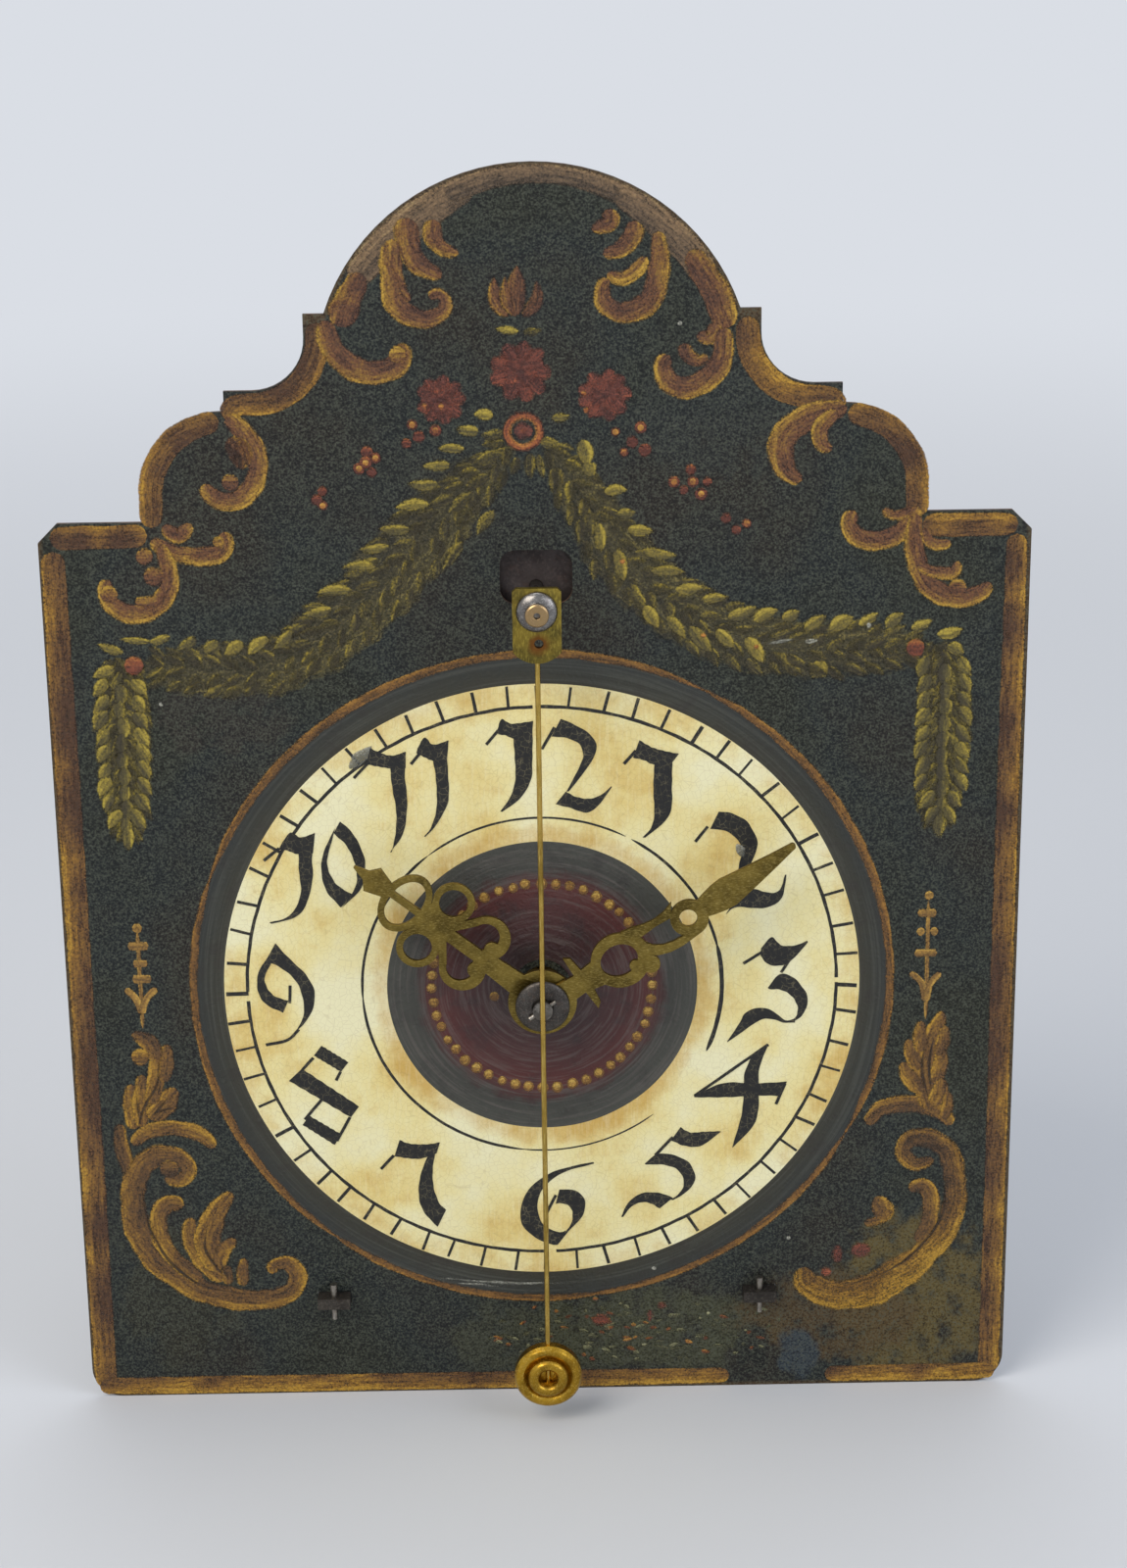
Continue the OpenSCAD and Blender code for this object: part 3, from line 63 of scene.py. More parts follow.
# adds one node: sockets holds values or the outputs that feed it, stops the places and hex colours of a ramp, the
# rest are its own settings
def addNode(tree, kind, sockets=None, out=0, stops=None, **settings):
    node = tree.nodes.new("ShaderNode" + kind)
    for key, value in settings.items():
        setattr(node, key, value)
    for key, value in (sockets or {}).items():
        if isinstance(value, bpy.types.NodeSocket):
            tree.links.new(value, node.inputs[key])
        else:
            node.inputs[key].default_value = value
    if stops:
        ramp = node.color_ramp.elements
        while len(ramp) < len(stops):
            ramp.new(0.5)
        for element, (place, shade) in zip(ramp, stops):
            element.position, element.color = place, tint(shade)
    return node.outputs[out] if node.outputs else node


# a material without nodes, and the function that adds them to it
def emptyMaterial(name):
    material = bpy.data.materials.new(name)
    material.use_nodes = True
    material.node_tree.nodes.clear()
    return material, partial(addNode, material.node_tree)


# a new object, linked to the scene
def placed(name, data):
    thing = bpy.data.objects.new(name, data)
    bpy.context.scene.collection.objects.link(thing)
    return thing


# values spread evenly over count places, value = a + (b - a) t between one and the next
def evenly(values, count):
    return np.interp(np.linspace(0, 1, count), np.linspace(0, 1, np.size(values)), np.atleast_1d(values))


# length run from the first point to each point, the sum of the chords between them
def runAlong(line):
    return np.concatenate([[0], np.cumsum(np.linalg.norm(np.diff(line[:, :2], axis=0), axis=1))])


# in mm: how deep a stroke's base lies in the sheet, its least half width, the length of a row, fewest and most rows,
# the height between one stroke and the next and how many are stacked before it starts again, steps between two points
strokeForm = {"base": -0.02, "least": 0.04, "row": 0.6, "rows": (11, 300), "step": 0.001, "stack": 60, "curve": 24}


# Catmull-Rom through the points, p = (2b + (c-a)t + (2a-5b+4c-d)t^2 + (3b-a-3c+d)t^3) / 2, at even chord length
def smoothLine(points, count):
    p = np.asarray(points, float)
    if len(p) == 2:
        return p[0] + (p[1] - p[0]) * np.linspace(0, 1, count)[:, None]
    ends = np.vstack([2 * p[0] - p[1], p, 2 * p[-1] - p[-2]])
    t = np.linspace(0, 1, strokeForm["curve"], endpoint=False)[None, :, None]
    a, b, c, d = (ends[k:len(ends) - 3 + k, None] for k in range(4))
    line = (2 * b + (c - a) * t + (2 * a - 5 * b + 4 * c - d) * t ** 2 + (3 * b - a - 3 * c + d) * t ** 3) / 2
    line = np.vstack([line.reshape(-1, p.shape[1]), p[-1:]])
    run = runAlong(line)
    at = np.linspace(0, run[-1], count)
    return np.stack([np.interp(at, run, line[:, k]) for k in range(p.shape[1])], axis=1)


# share of the full width along a stroke, t from 0 to 1
def brushWidth(kind, t, length, full):
    if kind == "leaf":            # tapers both ways, fullest a little before the middle
        return np.sin(np.pi * t ** 0.8) ** 0.7
    if kind == "dot":
        return np.sqrt(np.clip(1 - (2 * t - 1) ** 2, 0, 1))
    if kind == "round":           # ends in half discs, sqrt(1 - (1 - distance / half width)^2)
        return np.sqrt(1 - (1 - np.clip(np.minimum(t, 1 - t) * length / (full / 2), 0, 1)) ** 2)
    if kind == "swell":           # drawn out to both ends, full along the middle
        return np.clip(4 * t * (1 - t) * 3, 0, 1) ** 0.5
    return np.ones_like(t)


# one stroke lying flat: point(i, j) = left_i + (right_i - left_i) j / across, closed by a base inside the sheet.
# The uv holds mm along and mm across from the middle, positive towards the bright edge
def strokeShell(left, right, bright=1, tone=0.5, body=0.85, across=2, shift=0.0):
    left, right = np.asarray(left, float), np.asarray(right, float)
    spine = (left + right) / 2
    along, over = np.gradient(spine, axis=0), right - left
    if np.sum(along[:, 0] * over[:, 1] - along[:, 1] * over[:, 0]) > 0:
        left, right, bright = right, left, -bright
    rows = len(left)
    v = np.linspace(0, 1, across + 1)
    flat = left[:, None] + (right - left)[:, None] * v[None, :, None]
    top = np.dstack([flat, np.zeros((rows, across + 1))])
    base = np.dstack([np.stack([right, left], axis=1), np.full((rows, 2), strokeForm["base"])])
    ring = across + 3
    points = np.concatenate([top, base], axis=1).reshape(-1, 3)
    half = np.linalg.norm(right - left, axis=1) / 2
    aside = np.concatenate([1 - 2 * v, [-1, 1]]) * bright
    run = np.broadcast_to(runAlong(spine)[:, None] + shift, (rows, ring))
    uv = np.dstack([run, half[:, None] * aside[None, :]]).reshape(-1, 2)
    spread = [np.repeat(values, ring) for values in (evenly(tone, rows), evenly(body, rows), half)]
    i, j = np.meshgrid(np.arange(rows - 1), np.arange(ring), indexing="ij")
    k = (j + 1) % ring
    quads = np.stack([i * ring + j, i * ring + k, (i + 1) * ring + k, (i + 1) * ring + j], axis=-1).reshape(-1, 4)
    if np.allclose(spine[0], spine[-1]):            # a closed ring joins its last row to its first
        return points[:-ring], uv[:-ring], [s[:-ring] for s in spread], quads % ((rows - 1) * ring), []
    caps = [np.arange(ring)[::-1].tolist(), ((rows - 1) * ring + np.arange(ring)).tolist()]
    return points, uv, spread, quads, caps


# a brush line: spine points, full width in mm, kind of swelling; the edges waver by a share of the width
def brushLine(points, width, kind="band", bright=1, tone=0.5, body=0.85, waver=0.05, count=None, soft=0.5):
    spine = np.asarray(points, float)
    length = runAlong(spine)[-1]
    count = count or int(np.clip(length / strokeForm["row"], *strokeForm["rows"]))
    spine = smoothLine(spine, count)
    t = np.linspace(0, 1, count)
    along = np.gradient(spine, axis=0)
    side = np.stack([-along[:, 1], along[:, 0]], axis=1)
    side /= np.maximum(np.linalg.norm(side, axis=1, keepdims=True), 1e-9)
    full = evenly(width, count) + soft
    half = np.maximum(full * brushWidth(kind, t, length, full) / 2, strokeForm["least"])
    phase = dice.uniform(0, 6.28, 4)
    edges = []
    for k in (0, 1):
        shake = waver * (np.sin(length * t * 0.55 + phase[k]) + 0.6 * np.sin(length * t * 1.3 + phase[k + 2]))
        edges.append(spine + side * (half * (1 + shake))[:, None] * (1 - 2 * k))
    return strokeShell(*edges, bright, tone, body, 2, dice.uniform(0, 400))


# a round touch of the brush
def dot(x, z, r, tone, body=0.9, soft=0.4):
    return brushLine([(x - r, z), (x + r, z)], 2 * r, "dot", 1, tone, body, 0.03, 11, soft)


# points of an arc about (cx, cz), angles in degrees
def arc(cx, cz, r, start, stop, count=14):
    a = np.radians(np.linspace(start, stop, count))
    return np.stack([cx + r * np.cos(a), cz + r * np.sin(a)], axis=1).tolist()


# a flat ring: radius between inner and outer + waver sin(n a + phase), summed over n, turned by the angle a
def ringShell(inner, outer, turns, across=8, waver=0.12):
    a = np.linspace(0, 2 * np.pi, turns + 1)
    phase = dice.uniform(0, 6.28, 3)
    edge = sum(np.sin(a * n + phase[i]) * s for i, (n, s) in enumerate([(2, 0.5), (5, 0.3), (11, 0.2)]))
    ray = np.stack([np.cos(a), np.sin(a)], axis=1)
    centre = np.array(middle)
    inside, outside = ray * (inner + waver * edge)[:, None], ray * (outer - waver * edge)[:, None]
    return strokeShell(centre + inside, centre + outside, across=across)


# an object from points and faces, with a uv for each point
def meshPiece(name, points, faces, material, uv=None, smooth=True):
    mesh = bpy.data.meshes.new(name)
    mesh.from_pydata(np.asarray(points).tolist(), [], faces)
    mesh.materials.append(material)
    if uv is not None:
        corner = np.zeros(len(mesh.loops), np.int32)
        mesh.loops.foreach_get("vertex_index", corner)
        mesh.uv_layers.new(name="stroke").data.foreach_set("uv", np.asarray(uv, np.float32)[corner].ravel())
    mesh.polygons.foreach_set("use_smooth", np.full(len(mesh.polygons), smooth))
    mesh.update()
    return placed(name, mesh)


# joins the strokes of one colour into one object on the painted face; stroke k lies at lift + step (k mod stack)
def paintPiece(name, shells, material, lift, step=strokeForm["step"]):
    points, uv, faces, spreads, start = [], [], [], [], 0
    for k, (shellPoints, shellUv, spread, quads, caps) in enumerate(shells):
        shellPoints[shellPoints[:, 2] == 0, 2] = lift + step * (k % strokeForm["stack"])
        points.append(shellPoints)
        uv.append(shellUv)
        spreads.append(spread)
        faces += (quads + start).tolist() + [[n + start for n in cap] for cap in caps]
        start += len(shellPoints)
    points, uv = np.vstack(points), np.vstack(uv)
    place = np.stack([points[:, 0] * mm, faceY - points[:, 2] * mm, points[:, 1] * mm], axis=1)
    piece = meshPiece(name, place, faces, material, uv, smooth=False)
    for k, key in enumerate(("tone", "body", "half")):
        values = np.concatenate([spread[k] for spread in spreads]).astype(np.float32)
        piece.data.attributes.new(key, "FLOAT", "POINT").data.foreach_set("value", values)
    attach(piece, "frame")
    return piece


archMiddle = (0.0, 270.2)                  # middle of the crest's arch, x and z in mm
# colours, then sizes in mm: a cell of the crazing, the grain, a cloud of colour and a mottle. The grain is about 0.2 mm
# in life, too fine to show, and is drawn at 0.5 mm
groundPaint = {
    "blue": "#1a2123", "olive": "#1f2117", "brown": "#241d17", "pale": "#30332b", "dark": "#060707", "speck": "#4a4e43",
    "cell": 1.7, "grain": 0.5, "cloud": 42.0, "mottle": 6.0}
bareRim = {  # where the sheet's outline is rubbed bare, in mm from none to most of it
    "side": (118.6, 119.6), "foot": (1.3, 0.3), "crest": (51.0, 51.8), "above": (282.0, 286.0), "most": 0.85,
    "colour": "#5a4326"}
wornPlaces = [  # x, z, half width, half height in mm, colour, how much of it shows
    (96, 24, 28, 36, "#6b5a2a", 0.95), (26, 17, 50, 17, "#474830", 0.85), (74, 20, 34, 19, "#5b4522", 0.8),
    (-12, 15, 20, 15, "#3f402e", 0.7), (66, 9, 8, 11, "#35404a", 0.95), (54, 10, 7, 12, "#161816", 0.95),
    (60, 205, 18, 6, "#4a4b3a", 0.6), (-78, 188, 24, 14, "#322b25", 0.7), (-20, 240, 14, 18, "#2e2b22", 0.6),
    (45, 262, 30, 22, "#2a2e2e", 0.6), (-95, 30, 22, 30, "#33301f", 0.6)]


def placeInMm(add):
    return add("VectorMath", {0: add("TexCoord", out=3), "Scale": 1000.0}, operation="SCALE")


# lays a colour over the one under it where a pattern runs from low to high, up to the share given as most
def coat(add, under, pattern, low, high, most, shade, **settings):
    share = add("MapRange", {0: pattern, 1: low, 2: high, 4: most}, **settings)
    return add("Mix", {0: share, 6: under, 7: tint(shade)}, out=2, data_type="RGBA")


# the shader over a relief with its strength from 0 to 1 and its depth in metres
def surface(add, height, strength, depth, sockets):
    bump = add("Bump", {"Height": height, "Strength": strength, "Distance": depth})
    return add("BsdfPrincipled", {"Normal": bump, **sockets})


# the crazing of the paint film: domed cells with sunk lines between them, and the noises it is mixed with
def crazing(add):
    place = placeInMm(add)
    mottle, fine, grit = (
        add("TexNoise", {"Vector": place, "Scale": scale, "Detail": detail, "Roughness": rough})
        for scale, detail, rough in (
            (1 / groundPaint["mottle"], 6.0, 0.62), (1 / groundPaint["grain"], 2.0, 0.7), (1.5, 3.0, 0.65)))
    wander = add("TexNoise", {"Vector": place, "Scale": 0.6, "Detail": 2.0}, out=1)
    bent = add("VectorMath", {0: wander, 1: (1.8, 1.8, 1.8), 2: place}, operation="MULTIPLY_ADD")
    cell = add("TexVoronoi", {"Vector": bent, "Scale": 1 / groundPaint["cell"]}, feature="DISTANCE_TO_EDGE")
    crack = add("MapRange", {0: cell, 2: 0.1, 3: 1.0, 4: 0.0}, interpolation_type="SMOOTHSTEP")
    swell = add("MapRange", {0: cell, 2: 0.42}, interpolation_type="SMOOTHSTEP")
    height = add("Math", {0: grit, 1: 0.9, 2: swell}, operation="MULTIPLY_ADD")
    return {"place": place, "mottle": mottle, "fine": fine, "grit": grit, "crack": crack, "swell": swell,
            "height": height}


# the aged dark oil colour of the plate: clouds, mottling, worn places, bare rims, a grain of pale and dark specks
def groundLayers(add):
    skin = crazing(add)
    place, mottle, fine = skin["place"], skin["mottle"], skin["fine"]
    cloud = add("TexNoise", {"Vector": place, "Scale": 1 / groundPaint["cloud"], "Detail": 3.0})
    colour = add("ValToRGB", {0: cloud}, stops=[
        (0.36, groundPaint["olive"]), (0.5, groundPaint["blue"]), (0.66, groundPaint["brown"])])
    colour = coat(add, colour, mottle, 0.5, 0.78, 0.7, groundPaint["pale"])
    x = add("SeparateXYZ", {0: place}, out=0)
    z = x.node.outputs[2]
    for cx, cz, halfW, halfH, shade, share in wornPlaces:
        dx = add("MapRange", {0: x, 1: cx - halfW, 2: cx + halfW, 3: -1.0, 4: 1.0}, clamp=False)
        dz = add("MapRange", {0: z, 1: cz - halfH, 2: cz + halfH, 3: -1.0, 4: 1.0}, clamp=False)
        far = add("VectorMath", {0: add("CombineXYZ", {0: dx, 1: dz})}, out=1, operation="LENGTH")
        some = add("Math", {0: add("MapRange", {0: far, 1: 1.2, 2: 0.55}), 1: mottle}, operation="MULTIPLY")
        colour = coat(add, colour, some, 0.3, 0.52, share, shade, interpolation_type="SMOOTHSTEP")
    flat = add("CombineXYZ", {0: x, 1: z})
    reach = {"side": add("Math", {0: x}, operation="ABSOLUTE"), "foot": z, "above": z,
             "crest": add("VectorMath", {0: flat, 1: (*archMiddle, 0.0)}, out=1, operation="DISTANCE")}
    rim = {key: add("MapRange", {0: reach[key], 1: bareRim[key][0], 2: bareRim[key][1]}) for key in reach}
    arched = add("Math", {0: rim["crest"], 1: rim["above"]}, operation="MULTIPLY")
    sides = add("Math", {0: rim["side"], 1: rim["foot"]}, operation="MAXIMUM")
    bare = add("Math", {0: sides, 1: arched}, operation="MAXIMUM")
    colour = coat(add, colour, bare, 0.0, 1.0, bareRim["most"], bareRim["colour"])
    colour = coat(add, colour, fine, 0.45, 0.69, 0.9, groundPaint["speck"])
    skin["colour"] = coat(add, colour, fine, 0.52, 0.34, 0.85, groundPaint["dark"])
    return skin


# Oil ground on sheet iron, brushed on, varnished and crazed with age: near black with a blue or olive cast,
# a pebbled sheen; the sheet's edges and back are bare brown-black iron
def paintedIron():
    material, add = emptyMaterial("oilPaintedIronCrazed")
    ground = groundLayers(add)
    depth = add("SeparateXYZ", {0: ground["place"]}, out=1)
    back = add("MapRange", {0: depth, 1: faceY / mm + 0.15, 2: faceY / mm + 0.3})
    rust = add("ValToRGB", {0: ground["mottle"]}, stops=[
        (0.3, "#2a221d"), (0.5, "#43332a"), (0.62, "#5a4130"), (0.75, "#33302e")])
    colour = add("Mix", {0: back, 6: ground["colour"], 7: rust}, out=2, data_type="RGBA")
    rough = add("MapRange", {0: ground["grit"], 1: 0.3, 2: 0.7, 3: 0.42, 4: 0.58})
    rough = add("Mix", {0: back, 2: rough, 3: 0.72})
    shader = surface(add, ground["height"], 0.8, 0.00016, {
        "Base Color": colour, "Roughness": rough, "Specular IOR Level": 0.3})
    add("OutputMaterial", {0: shader})
    return material


# Oil colour in brush strokes over the dark ground: bristle streaks run along the stroke, the bright edge keeps
# more body, the outline is soft, and where the film is thin or rubbed the ground shows through. The streaks, about
# 0.4 mm wide in life, are drawn near 0.9 mm wide so that they show; soft is the outline's width in mm
def strokePaint(name, shades, soft=0.9, wear=0.5, edgeLight=0.24):
    material, add = emptyMaterial(name)
    skin = crazing(add)
    u = add("SeparateXYZ", {0: add("UVMap", uv_map="stroke")})
    v = u.node.outputs[1]
    tone, body, half = (add("Attribute", attribute_name=key, out=2) for key in ("tone", "body", "half"))
    long = add("CombineXYZ", {k: add("Math", {0: value, 1: scale}, operation="MULTIPLY")
                              for k, (value, scale) in enumerate(((u, 0.14), (v, 1.15), (skin["mottle"], 0.8)))})
    hair = add("TexNoise", {"Vector": long, "Scale": 1.0, "Detail": 5.0, "Roughness": 0.68})
    side = add("Math", {0: v, 1: half}, operation="DIVIDE")
    square = add("Math", {0: side, 1: side}, operation="MULTIPLY")
    edge = add("Math", {0: side, 1: 1.5, 2: square}, operation="MULTIPLY_ADD")
    bright = tone
    for value, share in ((edge, edgeLight), (hair, 1.7), (skin["fine"], 1.0)):
        bright = add("Math", {0: value, 1: share, 2: bright}, operation="MULTIPLY_ADD")
    bright = add("MapRange", {0: bright, 1: 1.38, 2: 2.68})
    colour = add("ValToRGB", {0: bright}, stops=list(zip((0.12, 0.4, 0.66, 0.92), shades)))
    colour = coat(add, colour, skin["crack"], 0.0, 1.0, 0.4, "#27221c")
    inside = add("Math", {0: half, 1: add("Math", {0: v}, operation="ABSOLUTE")}, operation="SUBTRACT")
    uneven = add("Math", {0: hair, 1: skin["fine"]}, operation="ADD")
    ragged = add("Math", {0: uneven, 1: 1.1 * soft, 2: inside}, operation="MULTIPLY_ADD")
    outline = add("MapRange", {0: ragged, 1: 1.1 * soft, 2: 2.0 * soft}, interpolation_type="SMOOTHSTEP")
    rim = add("MapRange", {0: inside, 2: 0.25})
    thin = add("Math", {0: uneven, 1: 1.6 * wear, 2: body}, operation="MULTIPLY_ADD")
    film = add("MapRange", {0: thin, 1: 0.35 + 1.25 * wear, 2: 0.95 + 1.6 * wear})
    cover = add("Math", {0: add("Math", {0: outline, 1: film}, operation="MULTIPLY"), 1: rim}, operation="MULTIPLY")
    height = add("Math", {0: hair, 1: 0.7, 2: skin["height"]}, operation="MULTIPLY_ADD")
    shader = surface(add, height, 0.7, 0.00014, {"Base Color": colour, "Roughness": 0.52})
    add("OutputMaterial", {0: add("MixShader", {0: cover, 1: add("BsdfTransparent"), 2: shader})})
    return material


# Lead white in oil under yellowed varnish: a warm cream, gone golden in blotches at the rims and where smoke and
# hands reached it, with hairline age cracks 1.5 mm apart and faint upright brush marks half a millimetre wide
def creamPaint():
    material, add = emptyMaterial("creamOilPaintVarnished")
    place = placeInMm(add)
    cloud = add("TexNoise", {"Vector": place, "Scale": 1 / 24, "Detail": 4.0, "Roughness": 0.55})
    blotch = add("TexNoise", {"Vector": place, "Scale": 1 / 5, "Detail": 8.0, "Roughness": 0.72})
    stretch = add("VectorMath", {0: place, 1: (1.9, 1.0, 0.16)}, operation="MULTIPLY")
    brush = add("TexNoise", {"Vector": stretch, "Scale": 1.0, "Detail": 3.0})
    apart = add("VectorMath", {0: place, 1: (middle[0], faceY / mm, middle[1])}, operation="DISTANCE", out=1)
    rims = [add("MapRange", {0: apart, 1: none, 2: full, 4: most}, interpolation_type="SMOOTHSTEP")
            for none, full, most in ((73.0, 79.0, 0.1), (46.0, 40.5, 0.2))]
    rims = add("Math", {0: rims[0], 1: rims[1]}, operation="ADD")
    stain = add("Math", {0: cloud, 1: blotch, 2: rims}, operation="MULTIPLY_ADD")
    cell = add("TexVoronoi", {"Vector": place, "Scale": 1 / 1.5}, feature="DISTANCE_TO_EDGE")
    colour = add("ValToRGB", {0: cloud}, stops=[(0.36, "#ece7bd"), (0.5, "#e9dda0"), (0.64, "#e2cd84")])
    colour = coat(add, colour, stain, 0.27, 0.52, 0.75, "#c59a42")
    colour = coat(add, colour, brush, 0.5, 0.75, 0.25, "#f1ebc4")
    colour = coat(add, colour, cell, 0.05, 0.0, 0.22, "#93793f")
    height = add("Math", {0: brush, 1: blotch}, operation="ADD")
    add("OutputMaterial", {0: surface(add, height, 0.35, 0.00008, {"Base Color": colour, "Roughness": 0.55})})
    return material


# Lamp black in oil, drawn with a flat brush: dense black gone brown at the cracks, which show the cream beneath
def inkPaint():
    material, add = emptyMaterial("lampBlackPaintCracked")
    place = placeInMm(add)
    mottle = add("TexNoise", {"Vector": place, "Scale": 1 / 2.5, "Detail": 6.0, "Roughness": 0.65})
    wander = add("TexNoise", {"Vector": place, "Scale": 0.8}, out=1)
    bent = add("VectorMath", {0: wander, 1: (1.2, 1.2, 1.2), 2: place}, operation="MULTIPLY_ADD")
    cell = add("TexVoronoi", {"Vector": bent, "Scale": 1 / 1.5}, feature="DISTANCE_TO_EDGE")
    crack = add("MapRange", {0: cell, 1: 0.06, 2: 0.0})
    crack = add("Math", {0: crack, 1: add("MapRange", {0: mottle, 1: 0.4, 2: 0.6})}, operation="MULTIPLY")
    colour = add("ValToRGB", {0: mottle}, stops=[(0.35, "#0b0b0a"), (0.55, "#131310"), (0.75, "#2a2820")])
    colour = coat(add, colour, crack, 0.0, 1.0, 0.5, "#8a8060")
    add("OutputMaterial", {0: surface(add, cell, 0.5, 0.0001, {"Base Color": colour, "Roughness": 0.55})})
    return material


# Grey and dark red oil colour turned on with the brush held still: faint rings of bristle marks 0.7 mm apart, drawn
# about twice as coarse as in life so that they show, and rubbed through
def turnedPaint(name, colours):
    material, add = emptyMaterial(name)
    ground = crazing(add)
    mottle = ground["mottle"]
    offset = add("VectorMath", {0: ground["place"], 1: (middle[0], 0, middle[1])}, operation="SUBTRACT")
    dx = add("SeparateXYZ", {0: offset})
    dz = dx.node.outputs[2]
    radius = add("VectorMath", {0: add("CombineXYZ", {0: dx, 1: dz})}, out=1, operation="LENGTH")
    ray = add("VectorMath", {0: add("CombineXYZ", {1: dx, 2: dz})}, operation="NORMALIZE")
    ray = add("VectorMath", {0: ray, 1: (0.0, 1.7, 1.7)}, operation="MULTIPLY")
    bristles = add("CombineXYZ", {0: add("Math", {0: radius, 1: 1 / 0.7}, operation="MULTIPLY")})
    turned = add("VectorMath", {0: bristles, 1: ray}, operation="ADD")
    marks = add("TexNoise", {"Vector": turned, "Scale": 1.0, "Detail": 4.0, "Roughness": 0.65})
    uneven = add("Math", {0: mottle, 1: 7.0, 2: radius}, operation="MULTIPLY_ADD")
    uneven = add("Math", {0: marks, 1: 4.0, 2: uneven}, operation="MULTIPLY_ADD")
    share = add("MapRange", {0: uneven, 1: colours["from"] + 5.5, 2: colours["to"] + 5.5})
    tops = add("Math", {0: ground["grit"], 1: ground["swell"]}, operation="MULTIPLY")
    colour = add("ValToRGB", {0: share}, stops=colours["stops"])
    colour = coat(add, colour, marks, 0.48, 0.64, colours["marks"], colours["markColour"])
    colour = coat(add, colour, mottle, 0.48, 0.3, 0.5, "#211c1b")
    colour = coat(add, colour, tops, 0.45, 0.75, 0.4, colours["markColour"])
    height = add("Math", {0: marks, 1: 0.5, 2: ground["height"]}, operation="MULTIPLY_ADD")
    add("OutputMaterial", {0: surface(add, height, 0.6, 0.00014, {"Base Color": colour, "Roughness": 0.5})})
    return material


# One way of ageing metal: clouds of tarnish, fine scratches of the file or lathe, grime in spots, and stains that
# gather round given places. Colours are body, dark, light and grime; grain is the size of the clouds in mm, the
# squeeze of the scratches along each axis and their size in mm, coarser than the 0.1 mm in life so that they show
def agedMetal(name, colours, metallic, rough, grain, grime, bump=0.00004, stain=None):
    material, add = emptyMaterial(name)
    place = placeInMm(add)
    body, dark, light, dirt = colours
    cloud, stretch, fine = grain
    along = add("VectorMath", {0: place, 1: stretch}, operation="MULTIPLY")
    tarnish, marks, spots = (
        add("TexNoise", {"Vector": where, "Scale": 1 / size, "Detail": detail, "Roughness": broken})
        for where, size, detail, broken in (
            (place, cloud, 6.0, 0.62), (along, fine, 3.0, 0.7), (place, cloud * 0.4, 5.0, 0.7)))
    colour = coat(add, tint(dark), tarnish, 0.38, 0.6, 1.0, body)
    colour = coat(add, colour, marks, 0.5, 0.75, 0.8, light)
    colour = coat(add, colour, spots, 0.55, 0.72, grime, dirt)
    if stain:
        far = add("VectorMath", {0: place, 1: stain["at"]}, operation="DISTANCE", out=1)
        near = add("Math", {0: tarnish, 1: stain["ragged"], 2: far}, operation="MULTIPLY_ADD")
        colour = coat(add, colour, near, stain["outer"], stain["inner"], stain["share"], stain["colour"])
    gloss = add("MapRange", {0: tarnish, 1: 0.3, 2: 0.7, 3: rough + 0.14, 4: rough - 0.14})
    height = add("Math", {0: marks, 1: 0.6, 2: tarnish}, operation="MULTIPLY_ADD")
    shader = surface(add, height, 0.6, bump, {"Base Color": colour, "Metallic": metallic, "Roughness": gloss})
    add("OutputMaterial", {0: shader})
    return material


